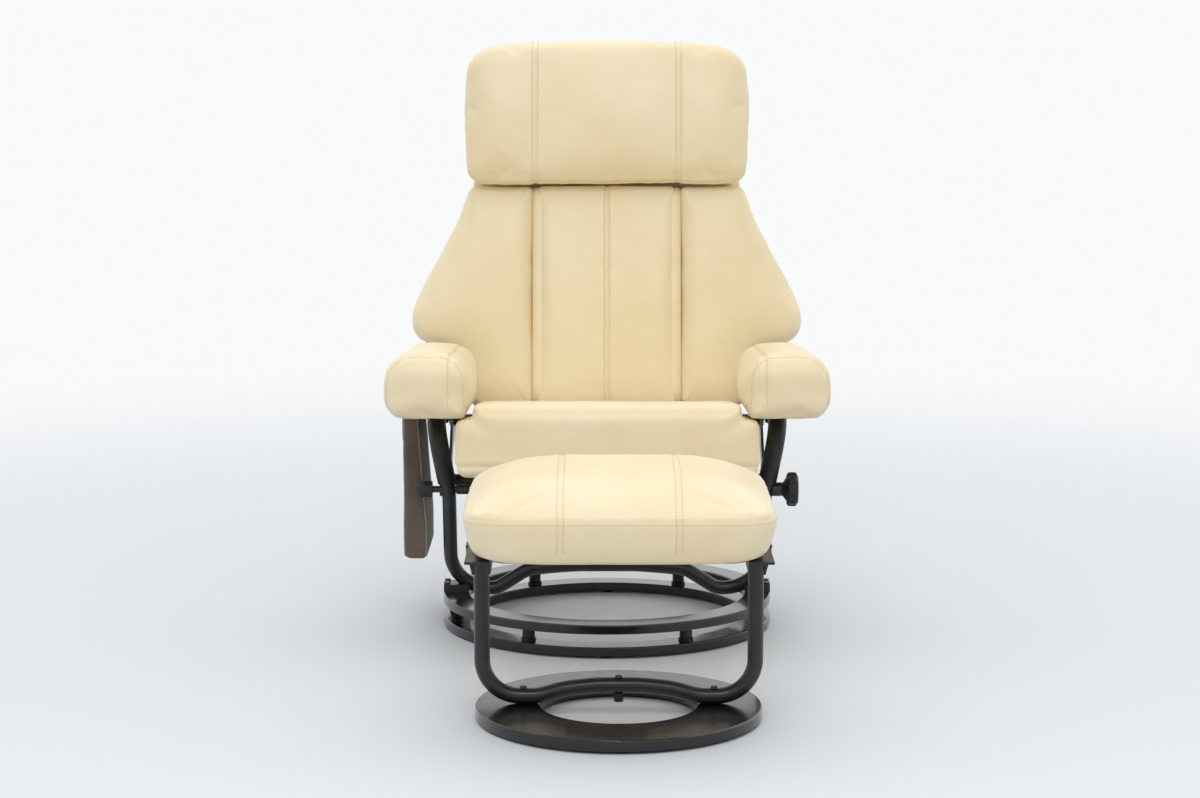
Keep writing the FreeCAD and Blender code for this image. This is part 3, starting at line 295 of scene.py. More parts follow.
CREAM = srgb(237, 220, 182)
CREAM_LIGHT = srgb(243, 232, 204)
CREAM_DARK = srgb(228, 204, 156)
M = {
    "cream_leather": leather("cream_leather", CREAM, CREAM_LIGHT, CREAM_DARK),
    "base_gloss_black": coated("base_gloss_black", srgb(15, 15, 16), srgb(20, 20, 21), 0.20, 0.35, 42.0, 0.00003),
    "frame_satin_black": coated("frame_satin_black", srgb(26, 26, 28), srgb(38, 37, 38), 0.36, 0.15, 1500.0, 0.00006),
    "black_plastic": plastic("black_plastic", srgb(24, 24, 26), srgb(34, 34, 36), 0.46),
    "foot_rubber": plastic("foot_rubber", srgb(38, 38, 38), srgb(56, 55, 54), 0.82, 500.0, 0.00018),
    "zinc_steel": metal("zinc_steel", srgb(168, 170, 174), srgb(206, 207, 208), 0.28),
    "plywood": plywood("plywood"),
    "taupe_fabric": woven("taupe_fabric", srgb(92, 81, 72), srgb(128, 116, 104), 0.0011),
    "webbing_fabric": woven("webbing_fabric", srgb(30, 30, 32), srgb(62, 62, 66), 0.0016),
    "motor_steel": metal("motor_steel", srgb(150, 152, 156), srgb(188, 190, 192), 0.34, (30, 900, 900)),
    "circuit_board": circuit("circuit_board"),
    "key_grey": plastic("key_grey", srgb(150, 152, 156), srgb(176, 178, 181), 0.5, 1600.0, 0.00004),
}
THREAD = Nodes("cream_thread", roughness=0.6, specular=0.3)
THREAD.colour(THREAD.mix(THREAD.wave(900.0, "DIAGONAL"), srgb(206, 184, 142), srgb(236, 219, 184)))
THREAD.bump(THREAD.wave(900.0, "DIAGONAL"), 0.0001, 0.8)
THREAD = THREAD.done()
BINDING = woven("pocket_binding", srgb(120, 110, 100), srgb(168, 158, 146), 0.0009, 0.4)

slots = {s["node"]: s["material_slot"] for s in frame["record"]["subparts"]}
for node, ob in frame["nodes"].items():
    ob.data.materials.clear()
    ob.data.materials.append(M[slots[node]])


# --------------------------------------------------------------- mesh helpers
def mesh_object(name, verts, faces, mat=None, smooth=True):
    me = bpy.data.meshes.new(name)
    me.from_pydata([tuple(map(float, v)) for v in verts], [], [tuple(map(int, f)) for f in faces])
    me.validate()
    me.update()
    if smooth:
        me.shade_smooth()
    ob = bpy.data.objects.new(name, me)
    scene.collection.objects.link(ob)
    if mat:
        me.materials.append(mat)
    return ob


def settle(ob):
    """Mesh of an object with all its modifiers applied."""
    bpy.context.view_layer.update()
    dg = bpy.context.evaluated_depsgraph_get()
    me = bpy.data.meshes.new_from_object(ob.evaluated_get(dg), depsgraph=dg)
    old = ob.data
    ob.modifiers.clear()
    ob.data = me
    if old.users == 0:
        bpy.data.meshes.remove(old)
    return me


def get_co(me):
    a = np.empty(len(me.vertices) * 3)
    me.vertices.foreach_get("co", a)
    return a.reshape(-1, 3)


def set_co(me, a):
    me.vertices.foreach_set("co", np.ascontiguousarray(a, float).ravel())
    me.update()


def get_no(me):
    a = np.empty(len(me.vertices) * 3)
    me.vertex_normals.foreach_get("vector", a)
    return a.reshape(-1, 3)


def vnoise(p, seed=0):
    """Smooth value noise, -1 to 1, at the rows of p."""
    i = np.floor(p).astype(np.int64)
    f = p - i
    f = f * f * (3 - 2 * f)

    def h(a, b, c):
        n = (a * 374761393 + b * 668265263 + c * 974711017 + seed * 1274126177) & 0xFFFFFFFF
        n = ((n ^ (n >> 13)) * 1274126177) & 0xFFFFFFFF
        return ((n ^ (n >> 16)) & 0xFFFF) / 32767.5 - 1.0

    x, y, z = i.T
    u, v, w = f.T
    c = [[[h(x + a, y + b, z + d) for d in (0, 1)] for b in (0, 1)] for a in (0, 1)]
    e = [[c[a][b][0] * (1 - w) + c[a][b][1] * w for b in (0, 1)] for a in (0, 1)]
    g = [e[a][0] * (1 - v) + e[a][1] * v for a in (0, 1)]
    return g[0] * (1 - u) + g[1] * u


def rounded(points, radii, step=0.006):
    """Closed outline with its corners rounded, sampled at about that step."""
    n = len(points)
    if isinstance(radii, (int, float)):
        radii = [radii] * n
    P = [Vector(p) for p in points]
    path = []
    for i in range(n):
        a, b, c = P[i - 1], P[i], P[(i + 1) % n]
        u, w = (a - b), (c - b)
        lu, lw = u.length, w.length
        u.normalize()
        w.normalize()
        ang = math.acos(max(-1, min(1, u.dot(w))))
        if math.pi - ang < 0.02:
            path.append(b)
            continue
        t = min(radii[i] / math.tan(ang / 2), 0.48 * lu, 0.48 * lw)
        r = t * math.tan(ang / 2)
        p1, p2 = b + u * t, b + w * t
        ctr = b + (u + w).normalized() * (r / math.sin(ang / 2))
        k = max(3, int((math.pi - ang) * r / step) + 2)
        a1, a2 = (p1 - ctr), (p2 - ctr)
        t1 = math.atan2(a1.y, a1.x)
        d = math.atan2(a2.y, a2.x) - t1
        d = (d + math.pi) % (2 * math.pi) - math.pi
        for j in range(k + 1):
            q = t1 + d * j / k
            path.append(ctr + Vector((math.cos(q), math.sin(q))) * r)
    pts = np.array([tuple(p) for p in path])
    nxt = np.roll(pts, -1, 0)
    seg = np.linalg.norm(nxt - pts, axis=1)
    keep = seg > 1e-7
    pts, seg = pts[keep], seg[keep]
    cum = np.concatenate([[0], np.cumsum(seg)])
    m = max(16, int(cum[-1] / step))
    s = np.linspace(0, cum[-1], m, endpoint=False)
    closed = np.vstack([pts, pts[:1]])
    return np.column_stack([np.interp(s, cum, closed[:, 0]), np.interp(s, cum, closed[:, 1])])


def drawn_in(o, d):
    """Outline moved inwards by d."""
    a, b = np.roll(o, 1, 0), np.roll(o, -1, 0)
    t = b - a
    t /= np.linalg.norm(t, axis=1)[:, None] + 1e-12
    nrm = np.column_stack([-t[:, 1], t[:, 0]])
    area = np.sum(o[:, 0] * b[:, 1] - b[:, 0] * o[:, 1])
    return o + nrm * d * (1 if area > 0 else -1)


def stacked(name, outline, levels, axis="y", share=None):
    """Closed solid: the outline again and again at (depth, inset) levels.

    share(outline) gives the part of each inset that a point of it takes.
    """
    verts, faces = [], []
    n = len(outline)
    w = np.ones(n) if share is None else share(outline)
    for depth, d in levels:
        q = outline + (drawn_in(outline, d) - outline) * w[:, None]
        for x, z in q:
            verts.append((x, depth, z) if axis == "y" else (x, z, depth))
    m = len(levels)
    for k in range(m - 1):
        for i in range(n):
            j = (i + 1) % n
            faces.append((k * n + i, k * n + j, (k + 1) * n + j, (k + 1) * n + i))
    faces.append(tuple(range(n))[::-1])
    faces.append(tuple((m - 1) * n + i for i in range(n)))
    ob = mesh_object(name, verts, faces)
    bm = bmesh.new()
    bm.from_mesh(ob.data)
    bmesh.ops.recalc_face_normals(bm, faces=bm.faces)
    bm.to_mesh(ob.data)
    bm.free()
    return ob


def domed(name, outline, profile):
    """Closed solid: the outline scaled about its middle, at (scale, z) steps."""
    n = len(outline)
    verts = [(x * k, y * k, z) for k, z in profile for x, y in outline]
    faces = []
    m = len(profile)
    for k in range(m - 1):
        for i in range(n):
            j = (i + 1) % n
            faces.append((k * n + i, k * n + j, (k + 1) * n + j, (k + 1) * n + i))
    faces.append(tuple(range(n))[::-1])
    faces.append(tuple((m - 1) * n + i for i in range(n)))
    return mesh_object(name, verts, faces)


def edge_levels(lo, hi, r_lo, r_hi, k=5):
    """Levels from depth lo to hi whose two rims are rounded."""
    out = []
    for j in range(k + 1):
        q = j / k * math.pi / 2
        out.append((lo + r_lo * (1 - math.cos(q)), r_lo * (1 - math.sin(q))))
    for j in range(k + 1):
        q = (1 - j / k) * math.pi / 2
        out.append((hi - r_hi * (1 - math.cos(q)), r_hi * (1 - math.sin(q))))
    return out


def remeshed(ob, voxel, relax=4):
    m = ob.modifiers.new("r", "REMESH")
    m.mode = "VOXEL"
    m.voxel_size = voxel
    s = ob.modifiers.new("s", "SMOOTH")
    s.iterations = relax
    s.factor = 0.5
    settle(ob)
    return ob


# ------------------------------------------------------- padded leather pieces
PADS = []


def pad(name, ob, target, voxel=0.006, pressure=4.0, cap=0.024, pin=None, squeeze=None, place=None, seams=(),
        crown=None, pull=1.0):
    """Register a cushion: its start shape, the box it fills and how it is held.

    target is the (lo, hi) box in its own frame after it has filled out.
    pin(co) gives True where the cover is held, squeeze(co) presses it flat
    against its neighbours, seams are (axis, value, depth, width, where).
    """
    remeshed(ob, voxel)
    co = get_co(ob.data)
    if pin is not None:
        g = ob.vertex_groups.new(name="pin")
        held = np.nonzero(pin(co))[0]
        if len(held):
            g.add([int(i) for i in held], 1.0, "REPLACE")
    PADS.append(dict(name=name, ob=ob, target=target, cap=cap, start=co.copy(), start_no=get_no(ob.data).copy(),
                     squeeze=squeeze, place=place, seams=seams, pin=pin is not None, pressure=pressure, crown=crown,
                     pull=pull))
    return ob


def cloth_on(p):
    m = p["ob"].modifiers.new("cloth", "CLOTH")
    s = m.settings
    s.quality = 4
    s.mass = 0.3
    s.tension_stiffness = 15
    s.compression_stiffness = 15
    s.shear_stiffness = 6
    s.bending_stiffness = 0.6
    s.use_pressure = True
    s.uniform_pressure_force = p["pressure"]
    s.effector_weights.gravity = 0.0
    if p["pin"]:
        s.vertex_group_mass = "pin"
        s.pin_stiffness = 1.0
    m.collision_settings.use_collision = False
    m.collision_settings.use_self_collision = False
    m.point_cache.frame_start = 1
    m.point_cache.frame_end = 20


def fill_out():
    """Inflate all covers together, frame by frame."""
    if SIMULATE:
        for p in PADS:
            cloth_on(p)
        scene.frame_start, scene.frame_end = 1, 20
        for f in range(1, 21):
            scene.frame_set(f)
    for p in PADS:
        settle(p["ob"])
    scene.frame_set(1)
    for p in PADS:
        me = p["ob"].data
        co = get_co(me)
        start = p["start"]
        if SIMULATE:
            # the cover moves out along its own normals; sideways drift is only kept small
            d = co - start
            nn = p["start_no"]
            out = np.sum(d * nn, axis=1)
            side = d - nn * out[:, None]
            out = np.maximum(out, -p["pull"] * p["cap"])
            L = np.linalg.norm(side, axis=1)
            side *= (0.0025 * np.tanh(0.25 * L / 0.0025) / np.maximum(L, 1e-9))[:, None]
            co = start + nn * (p["cap"] * np.tanh(out / p["cap"]))[:, None] + side
        if p["crown"] is not None:
            co = p["crown"](co)
        lo, hi = co.min(0), co.max(0)
        tl, th = np.array(p["target"][0]), np.array(p["target"][1])
        co = tl + (co - lo) / (hi - lo) * (th - tl)
        if p["squeeze"] is not None:
            co = p["squeeze"](co)
        set_co(me, co)
        m = p["ob"].modifiers.new("s", "SUBSURF")
        m.levels = m.render_levels = 1
        settle(p["ob"])


def seam_distance(co, s):
    axis, value = s["axis"], s["at"]
    if callable(value):
        return co[:, axis] - value(co)
    return co[:, axis] - value


def sew(p, seed):
    """Press the seams in and draw small puckers along them."""
    me = p["ob"].data
    co, no = get_co(me), get_no(me)
    move = np.zeros(len(co))
    for k, s in enumerate(p["seams"]):
        d = seam_distance(co, s)
        mask = s["where"](co, no).astype(float) if s.get("where") else np.ones(len(co))
        # only where the surface crosses the seam's plane steeply enough
        flat = np.abs(no[:, s["axis"]])
        mask = mask * np.clip((0.93 - flat) / 0.25, 0, 1)
        move -= mask * s["depth"] * np.exp(-(d / s["width"]) ** 2)
        roll = s.get("roll", 0.0)
        if roll:
            move += mask * roll * np.exp(-((np.abs(d) - 3.0 * s["width"]) / (1.8 * s["width"])) ** 2)
        puck = s.get("pucker", 0.0)
        if puck:
            scale = np.array([70.0, 70.0, 70.0])
            scale[s["axis"]] = 9.0
            w = vnoise(co * scale + 11.3 * k, seed + k)
            w2 = vnoise(co * scale * 2.3 + 4.7, seed + 7 + k)
            move += mask * puck * (0.7 * w + 0.3 * w2) * np.exp(-np.abs(d) / 0.022) * (1 - np.exp(-(d / 0.004) ** 2))
    # slow unevenness of the filling
    slow = vnoise(co * 9.0 + 3.1, seed + 20)
    mid = vnoise(co * 24.0 + 8.7, seed + 21)
    move += 0.0011 * slow + 0.00045 * mid
    set_co(me, co + no * move[:, None])


def ordered_loops(me, axis, value):
    """Closed lines along which the plane (axis = value) cuts the mesh."""
    bm = bmesh.new()
    bm.from_mesh(me)
    pc, pn = [0, 0, 0], [0, 0, 0]
    pc[axis], pn[axis] = value, 1
    r = bmesh.ops.bisect_plane(bm, geom=bm.verts[:] + bm.edges[:] + bm.faces[:], plane_co=pc, plane_no=pn, dist=1e-7)
    edges = [e for e in r["geom_cut"] if isinstance(e, bmesh.types.BMEdge)]
    link = {}
    for e in edges:
        a, b = e.verts
        link.setdefault(a, []).append(b)
        link.setdefault(b, []).append(a)
    seen, loops = set(), []
    for v in link:
        if v in seen:
            continue
        loop, cur, prev = [v], v, None
        seen.add(v)
        while True:
            nxt = [q for q in link[cur] if q is not prev and q not in seen]
            if not nxt:
                break
            prev, cur = cur, nxt[0]
            seen.add(cur)
            loop.append(cur)
        if len(loop) > 12:
            loops.append(np.array([tuple(q.co) for q in loop]))
    bm.free()
    return loops


def even(loop, step, closed=True):
    pts = np.vstack([loop, loop[:1]]) if closed else loop
    seg = np.linalg.norm(np.diff(pts, axis=0), axis=1)
    cum = np.concatenate([[0], np.cumsum(seg)])
    m = max(8, int(round(cum[-1] / step)))
    s = np.linspace(0, cum[-1], m, endpoint=not closed)
    return np.column_stack([np.interp(s, cum, pts[:, i]) for i in range(3)])


def tube_arrays(P, N, r, sides=8, closed=True, lift=0.0, base=0):
    """Vertices and faces of a round tube along P whose section leans on N."""
    if closed:
        T = np.roll(P, -1, 0) - np.roll(P, 1, 0)
    else:
        T = np.gradient(P, axis=0)
    T /= np.linalg.norm(T, axis=1)[:, None] + 1e-12
    B = np.cross(T, N)
    B /= np.linalg.norm(B, axis=1)[:, None] + 1e-12
    N2 = np.cross(B, T)
    C = P + N2 * lift
    verts = []
    for j in range(sides):
        q = 2 * math.pi * j / sides
        verts.append(C + (N2 * math.cos(q) + B * math.sin(q)) * r)
    V = np.stack(verts, 1).reshape(-1, 3)
    n = len(P)
    faces = []
    for i in range(n if closed else n - 1):
        i2 = (i + 1) % n
        for j in range(sides):
            j2 = (j + 1) % sides
            faces.append((base + i * sides + j, base + i * sides + j2, base + i2 * sides + j2, base + i2 * sides + j))
    if not closed:
        faces.append(tuple(base + j for j in range(sides))[::-1])
        faces.append(tuple(base + (n - 1) * sides + j for j in range(sides)))
    return V, faces


def stitches(me, loops, offset, name, pitch=0.0062, length=0.0042, r=0.00055, keep=None):
    """Rows of small thread stitches on both sides of seam lines."""
    bvh = BVHTree.FromPolygons([v.co for v in me.vertices], [tuple(f.vertices) for f in me.polygons])
    verts, faces, base = [], [], 0
    prof = [(-0.5, -0.7), (-0.42, 0.25), (-0.2, 0.75), (0.2, 0.75), (0.42, 0.25), (0.5, -0.7)]
    for loop, sides in loops:
        P = even(loop, pitch)
        T = np.roll(P, -1, 0) - np.roll(P, 1, 0)
        for i in range(len(P)):
            t = Vector(T[i]).normalized()
            hit = bvh.find_nearest(Vector(P[i]))
            if hit[0] is None:
                continue
            nrm = hit[1]
            side = t.cross(nrm).normalized()
            for sgn in sides:
                q = bvh.find_nearest(Vector(P[i]) + side * (offset * sgn) + nrm * 0.004)
                if q[0] is None or (keep is not None and not keep(q[0], q[1])):
                    continue
                c, nn = q[0], q[1]
                tt = (t - nn * t.dot(nn)).normalized()
                bb = tt.cross(nn)
                for along, up in prof:
                    o = c + tt * (along * length) + nn * (up * r)
                    for j in range(6):
                        a = math.pi * 2 * j / 6
                        o2 = o + (nn * math.cos(a) + bb * math.sin(a)) * r
                        verts.append(tuple(o2))
                for k in range(len(prof) - 1):
                    for j in range(6):
                        j2 = (j + 1) % 6
                        faces.append((base + k * 6 + j, base + k * 6 + j2, base + k * 6 + 6 + j2, base + k * 6 + 6 + j))
                faces.append(tuple(base + j for j in range(6))[::-1])
                faces.append(tuple(base + (len(prof) - 1) * 6 + j for j in range(6)))
                base += len(prof) * 6
    if not verts:
        return None
    return mesh_object(name, verts, faces, THREAD)


def finish_pad(p, body, node, extra=()):
    ob = p["ob"]
    ob.name = p["name"]
    ob.data.name = p["name"]
    ob.data.materials.clear()
    ob.data.materials.append(M["cream_leather"])
    ob.data.shade_smooth()
    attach(ob, body)
    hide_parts(node)


def stitched_pad(p, body, node, seed, rows=None, mirror_to=None):
    """Seams, stitches and placement of one cushion on its body, with its CAD part hidden.

    mirror_to = (name, node) makes the same piece on the other side too.
    """
    sew(p, seed)
    me = p["ob"].data
    loops = []
    for s in p["seams"]:
        if not s.get("stitch") or callable(s["at"]):
            continue
        for loop in ordered_loops(me, s["axis"], s["at"]):
            loops.append((loop, s["stitch"]))
    keep = None
    st = stitches(me, loops, 0.0046, p["name"] + "_stitches", keep=rows) if loops else None
    if mirror_to:
        me2 = turned_over_local(me, p["place"])
        ob2 = bpy.data.objects.new(mirror_to[0], me2)
        scene.collection.objects.link(ob2)
        finish_pad(dict(ob=ob2, name=mirror_to[0]), body, mirror_to[1])
        if st is not None:
            sm = turned_over_local(st.data, p["place"])
            so = bpy.data.objects.new(mirror_to[0] + "_stitches", sm)
            scene.collection.objects.link(so)
            so.parent = None
            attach(so, body)
    me.transform(p["place"])
    me.update()
    finish_pad(p, body, node)
    if st is not None:
        st.data.transform(p["place"])
        st.data.update()
        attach(st, body)


def turned_over_local(me, place):
    c = me.copy()
    c.transform(place)
    c.transform(FLIP)
    c.flip_normals()
    c.update()
    return c


mm = 0.001
LEAN = math.cos(rad(14))


def up(z):
    """Height along the lean (m) for a height of the photograph's front (mm)."""
    return (z - 360.0) / LEAN * mm


def front_only(limit):
    return lambda co, no: co[:, 1] < limit


# headrest pillow: three panels, full, with drawn-in ends
o = rounded([(-0.260, 0.436), (0.260, 0.436), (0.260, 0.690), (-0.260, 0.690)], [0.026, 0.026, 0.050, 0.050])
head = stacked("head", o, edge_levels(-0.142, -0.070, 0.028, 0.024))


def head_shape(c):
    """Full at the top like a roll, drawn back towards the lower edge; the upper edge is arched."""
    t = np.clip((0.600 - c[:, 2]) / 0.165, 0, 1)
    front = np.clip((-0.085 - c[:, 1]) / 0.045, 0, 1)
    c[:, 1] += 0.017 * t ** 1.8 * front
    high = np.clip((c[:, 2] - 0.600) / 0.085, 0, 1)
    c[:, 2] -= 0.017 * high * np.abs(c[:, 0] / 0.262) ** 2.4
    return c



pad("headrest_cushion", head, ((-0.268, -0.151, 0.428), (0.268, -0.0645, 0.700)), voxel=0.006, cap=0.020,
    crown=head_shape,
    pin=lambda c: (np.abs(np.abs(c[:, 0]) - 0.135) < 0.004) & (np.abs(c[:, 1] + 0.106) > 0.028),
    place=BACK,
    seams=[dict(axis=0, at=-0.135, depth=0.0015, width=0.0030, roll=0.0005, pucker=0.0010, stitch=(-1, 1)),
           dict(axis=0, at=0.135, depth=0.0015, width=0.0030, roll=0.0005, pucker=0.0010, stitch=(-1, 1)),
           dict(axis=1, at=-0.104, depth=0.0030, width=0.0034, roll=0.0010, pucker=0.0016, stitch=None)])

# middle panel of the back
o = rounded([(-0.1325, 0.022), (0.1325, 0.022), (0.1325, 0.4255), (-0.1325, 0.4255)], 0.010)
cen = stacked("cen", o, edge_levels(-0.081, -0.003, 0.011, 0.005), share=lambda q: np.where(
    np.abs(q[:, 1] - 0.224) > 0.196, 0.35, 1.0))
pad("back_centre_cushion", cen, ((-0.1385, -0.0885, 0.012), (0.1385, -0.0015, 0.431)), voxel=0.005, cap=0.008,
    pin=lambda c: (c[:, 1] > -0.010) | (c[:, 2] > 0.421) | (c[:, 2] < 0.026),
    squeeze=lambda c: np.column_stack([np.clip(c[:, 0], -0.1343, 0.1343), np.minimum(c[:, 1], -0.0018),
                                       np.minimum(c[:, 2], 0.4285)]),
    place=BACK,
    seams=[dict(axis=0, at=0.0, depth=0.0022, width=0.0036, roll=0.0004, pucker=0.0008, stitch=(-1, 1),
                where=front_only(-0.05))])

# right bolster with its wing
R = [(0.1368, 0.022), (0.256, 0.022), (0.259, up(450)), (0.268, up(474)), (0.298, up(487.5)), (0.340, up(497)),
     (0.3605, up(517)), (0.3615, up(546)), (0.338, up(594)), (0.302, up(660)), (0.272, up(720)), (0.256, 0.4255),
     (0.1368, 0.4255)]
o = rounded(R, [0.010, 0.018, 0.03, 0.018, 0.03, 0.020, 0.022, 0.026, 0.12, 0.2, 0.2, 0.014, 0.010], 0.005)
bol = stacked("bol", o, edge_levels(-0.079, -0.003, 0.022, 0.008), share=lambda q: np.where(
    (q[:, 1] > 0.419) | ((q[:, 1] < 0.028) & (q[:, 0] < 0.25)), 0.25, np.clip(0.5 + (q[:, 0] - 0.16) / 0.08, 0.5, 1.0)))
pad("bolster_right", bol, ((0.1318, -0.0885, 0.012), (0.368, -0.0015, 0.431)), voxel=0.005, cap=0.010,
    pin=lambda c: (c[:, 1] > -0.010) | (c[:, 2] > 0.421) | ((c[:, 2] < 0.026) & (c[:, 0] < 0.245)),
    squeeze=lambda c: np.column_stack([np.maximum(c[:, 0], 0.1352), np.minimum(c[:, 1], -0.0018),
                                       np.minimum(c[:, 2], 0.4285)]),
    place=BACK,
    seams=[dict(axis=1, at=-0.040, depth=0.0026, width=0.0034, roll=0.0009, pucker=0.0014, stitch=(-1, 1),
                where=lambda co, no: co[:, 0] > 0.16)])

# flat pad behind the pillow
o = rounded([(-0.252, 0.434), (0.252, 0.434), (0.246, 0.560), (0.236, 0.660), (0.210, 0.690), (-0.210, 0.690),
             (-0.236, 0.660), (-0.246, 0.560)], 0.028)
upp = stacked("upp", o, edge_levels(-0.056, -0.004, 0.016, 0.006))
pad("upper_back_cushion", upp, ((-0.2565, -0.0635, 0.4295), (0.2565, -0.0015, 0.6955)), voxel=0.008, cap=0.020,
    pin=lambda c: c[:, 1] > -0.014,
    squeeze=lambda c: np.column_stack([c[:, 0], np.clip(c[:, 1], -0.0640, -0.0018), c[:, 2]]),
    place=BACK,
    seams=[dict(axis=1, at=-0.034, depth=0.0024, width=0.0034, roll=0.0008, pucker=0.0013, stitch=None)])

# seat: wide below the arms, narrower between them, with a rolled front
S = [(-0.250, 0.004), (0.250, 0.004), (0.2635, 0.016), (0.2635, 0.0950), (0.2590, 0.1010), (0.2335, 0.1020),
     (0.2335, 0.116), (0.2320, 0.1285), (-0.2320, 0.1285), (-0.2335, 0.116), (-0.2335, 0.1020), (-0.2590, 0.1010),
     (-0.2635, 0.0950), (-0.2635, 0.016)]
o = rounded(S, [0.01, 0.01, 0.02, 0.006, 0.005, 0.003, 0.006, 0.009, 0.009, 0.006, 0.003, 0.005, 0.006, 0.02], 0.004)
def seat_share(q):
    """The roll of the front is largest where the outline faces up, and small down the sides."""
    t = np.roll(q, -1, 0) - np.roll(q, 1, 0)
    faces_up = np.clip(np.abs(t[:, 0]) / np.maximum(np.linalg.norm(t, axis=1), 1e-9), 0, 1) ** 2
    high = np.clip((q[:, 1] - 0.106) / 0.014, 0, 1)
    return 0.34 + 0.66 * faces_up * high * high * (3 - 2 * high)


seat = stacked("seat", o, edge_levels(0.005, 0.447, 0.019, 0.010), share=seat_share)
pad("seat_pad", seat, ((-0.2655, -0.001, 0.0), (0.2655, 0.4525, 0.1310)), voxel=0.005, cap=0.004, pull=0.3, pressure=0.7,
    pin=lambda c: c[:, 2] < 0.008,
    squeeze=lambda c: np.column_stack([
        np.where(c[:, 2] > 0.1035, np.clip(c[:, 0], -0.2340, 0.2340), c[:, 0]), c[:, 1],
        # shallow dent under the rear edge, where the lead of the adapter passes to its inlet
        np.maximum(c[:, 2], 0.0072 * np.exp(-(np.abs(c[:, 0]) / 0.0135) ** 6) * np.clip((c[:, 1] - 0.418) / 0.006, 0, 1))]),
    place=SEAT,
    seams=[dict(axis=1, at=0.046, depth=0.0013, width=0.0036, roll=0.0002, pucker=0.0005, stitch=(1,),
                where=lambda co, no: co[:, 2] > 0.05),
           dict(axis=2, at=0.018, depth=0.0018, width=0.0034, roll=0.0005, pucker=0.0010, stitch=None)])

# left armrest
o = rounded([(0.006, 0.004), (0.144, 0.004), (0.144, 0.112), (0.006, 0.112)], [0.034, 0.015, 0.044, 0.050])
arm = stacked("arm", o, edge_levels(0.008, 0.432, 0.042, 0.042, 7), share=lambda q: np.clip(
    0.40 + (q[:, 1] - 0.012) / 0.060, 0.40, 1.0))
pad("arm_pad_left", arm, ((-0.001, -0.001, -0.004), (0.151, 0.441, 0.119)), voxel=0.006, cap=0.016,
    pin=lambda c: (c[:, 2] < 0.008) & (c[:, 1] > 0.06) & (c[:, 1] < 0.38),
    squeeze=lambda c: np.column_stack([c[:, 0], c[:, 1], np.maximum(c[:, 2], 0.0)]),
    place=ARM,
    seams=[dict(axis=1, at=0.026, depth=0.0018, width=0.0034, roll=0.0006, pucker=0.0014, stitch=(1,)),
           dict(axis=1, at=0.414, depth=0.0018, width=0.0034, roll=0.0006, pucker=0.0014, stitch=(-1,)),
           dict(axis=0, at=0.117, depth=0.0012, width=0.0034, roll=0.0004, pucker=0.0008, stitch=(-1,),
                where=lambda co, no: co[:, 2] > 0.03)])

# stool cushion: domed, on its board
o = rounded([(-0.234, -0.196), (0.234, -0.196), (0.234, 0.196), (-0.234, 0.196)], 0.060)
prof = [(0.900, 0.2815), (0.918, 0.2825), (0.938, 0.287), (0.957, 0.297), (0.975, 0.311), (0.989, 0.328), (1.0, 0.346)]
for j in range(1, 19):
    q = j / 18 * math.pi / 2
    prof.append((max(0.03, math.cos(q) ** 0.93), 0.350 + 0.052 * math.sin(q) ** 0.93))
stl = domed("stl", o, prof)


def stool_shape(c):
    """The lower edge rises a little at the four corners, beyond the board."""
    corner = (np.abs(c[:, 0]) / 0.239) ** 5 * (np.abs(c[:, 1]) / 0.201) ** 2.5
    c[:, 2] += 0.026 * np.clip(corner, 0, 1) * np.clip((0.345 - c[:, 2]) / 0.06, 0, 1)
    return c


pad("stool_pad", stl, ((-0.239, -0.201, 0.2815), (0.239, 0.201, 0.4120)), voxel=0.006, cap=0.009,
    crown=stool_shape,
    pin=lambda c: (c[:, 2] < 0.290) | (np.abs(c[:, 2] - 0.350) < 0.003),
    squeeze=lambda c: np.column_stack([c[:, 0], c[:, 1], np.maximum(c[:, 2], 0.2812)]),
    place=STOOL,
    seams=[dict(axis=0, at=-0.089, depth=0.0015, width=0.0034, roll=0.0004, pucker=0.0008, stitch=(-1, 1),
                where=lambda co, no: co[:, 2] > 0.30),
           dict(axis=0, at=0.089, depth=0.0015, width=0.0034, roll=0.0004, pucker=0.0008, stitch=(-1, 1),
                where=lambda co, no: co[:, 2] > 0.30),
           dict(axis=2, at=0.351, depth=0.0013, width=0.0040, roll=0.0003, pucker=0.0009, stitch=(-1,))])

fill_out()
by = {p["name"]: p for p in PADS}
stitched_pad(by["headrest_cushion"], "backrest", "headrest_pillow", 1)
stitched_pad(by["back_centre_cushion"], "backrest", "back_cushion", 2, rows=lambda c, n: c.y < -0.06)
stitched_pad(by["bolster_right"], "backrest", "side_bolster_right", 3, rows=lambda c, n: c.x > 0.17,
             mirror_to=("bolster_left", "side_bolster_left"))
stitched_pad(by["upper_back_cushion"], "backrest", "upper_back_pad", 4)
stitched_pad(by["seat_pad"], "seat", "seat_cushion", 5, rows=lambda c, n: c.z > 0.06)
stitched_pad(by["arm_pad_left"], "frame", "armrest_left", 6, rows=lambda c, n: c.z > 0.02,
             mirror_to=("arm_pad_right", "armrest_right"))
stitched_pad(by["stool_pad"], "stool", "stool_cushion", 7, rows=lambda c, n: c.z > 0.30)


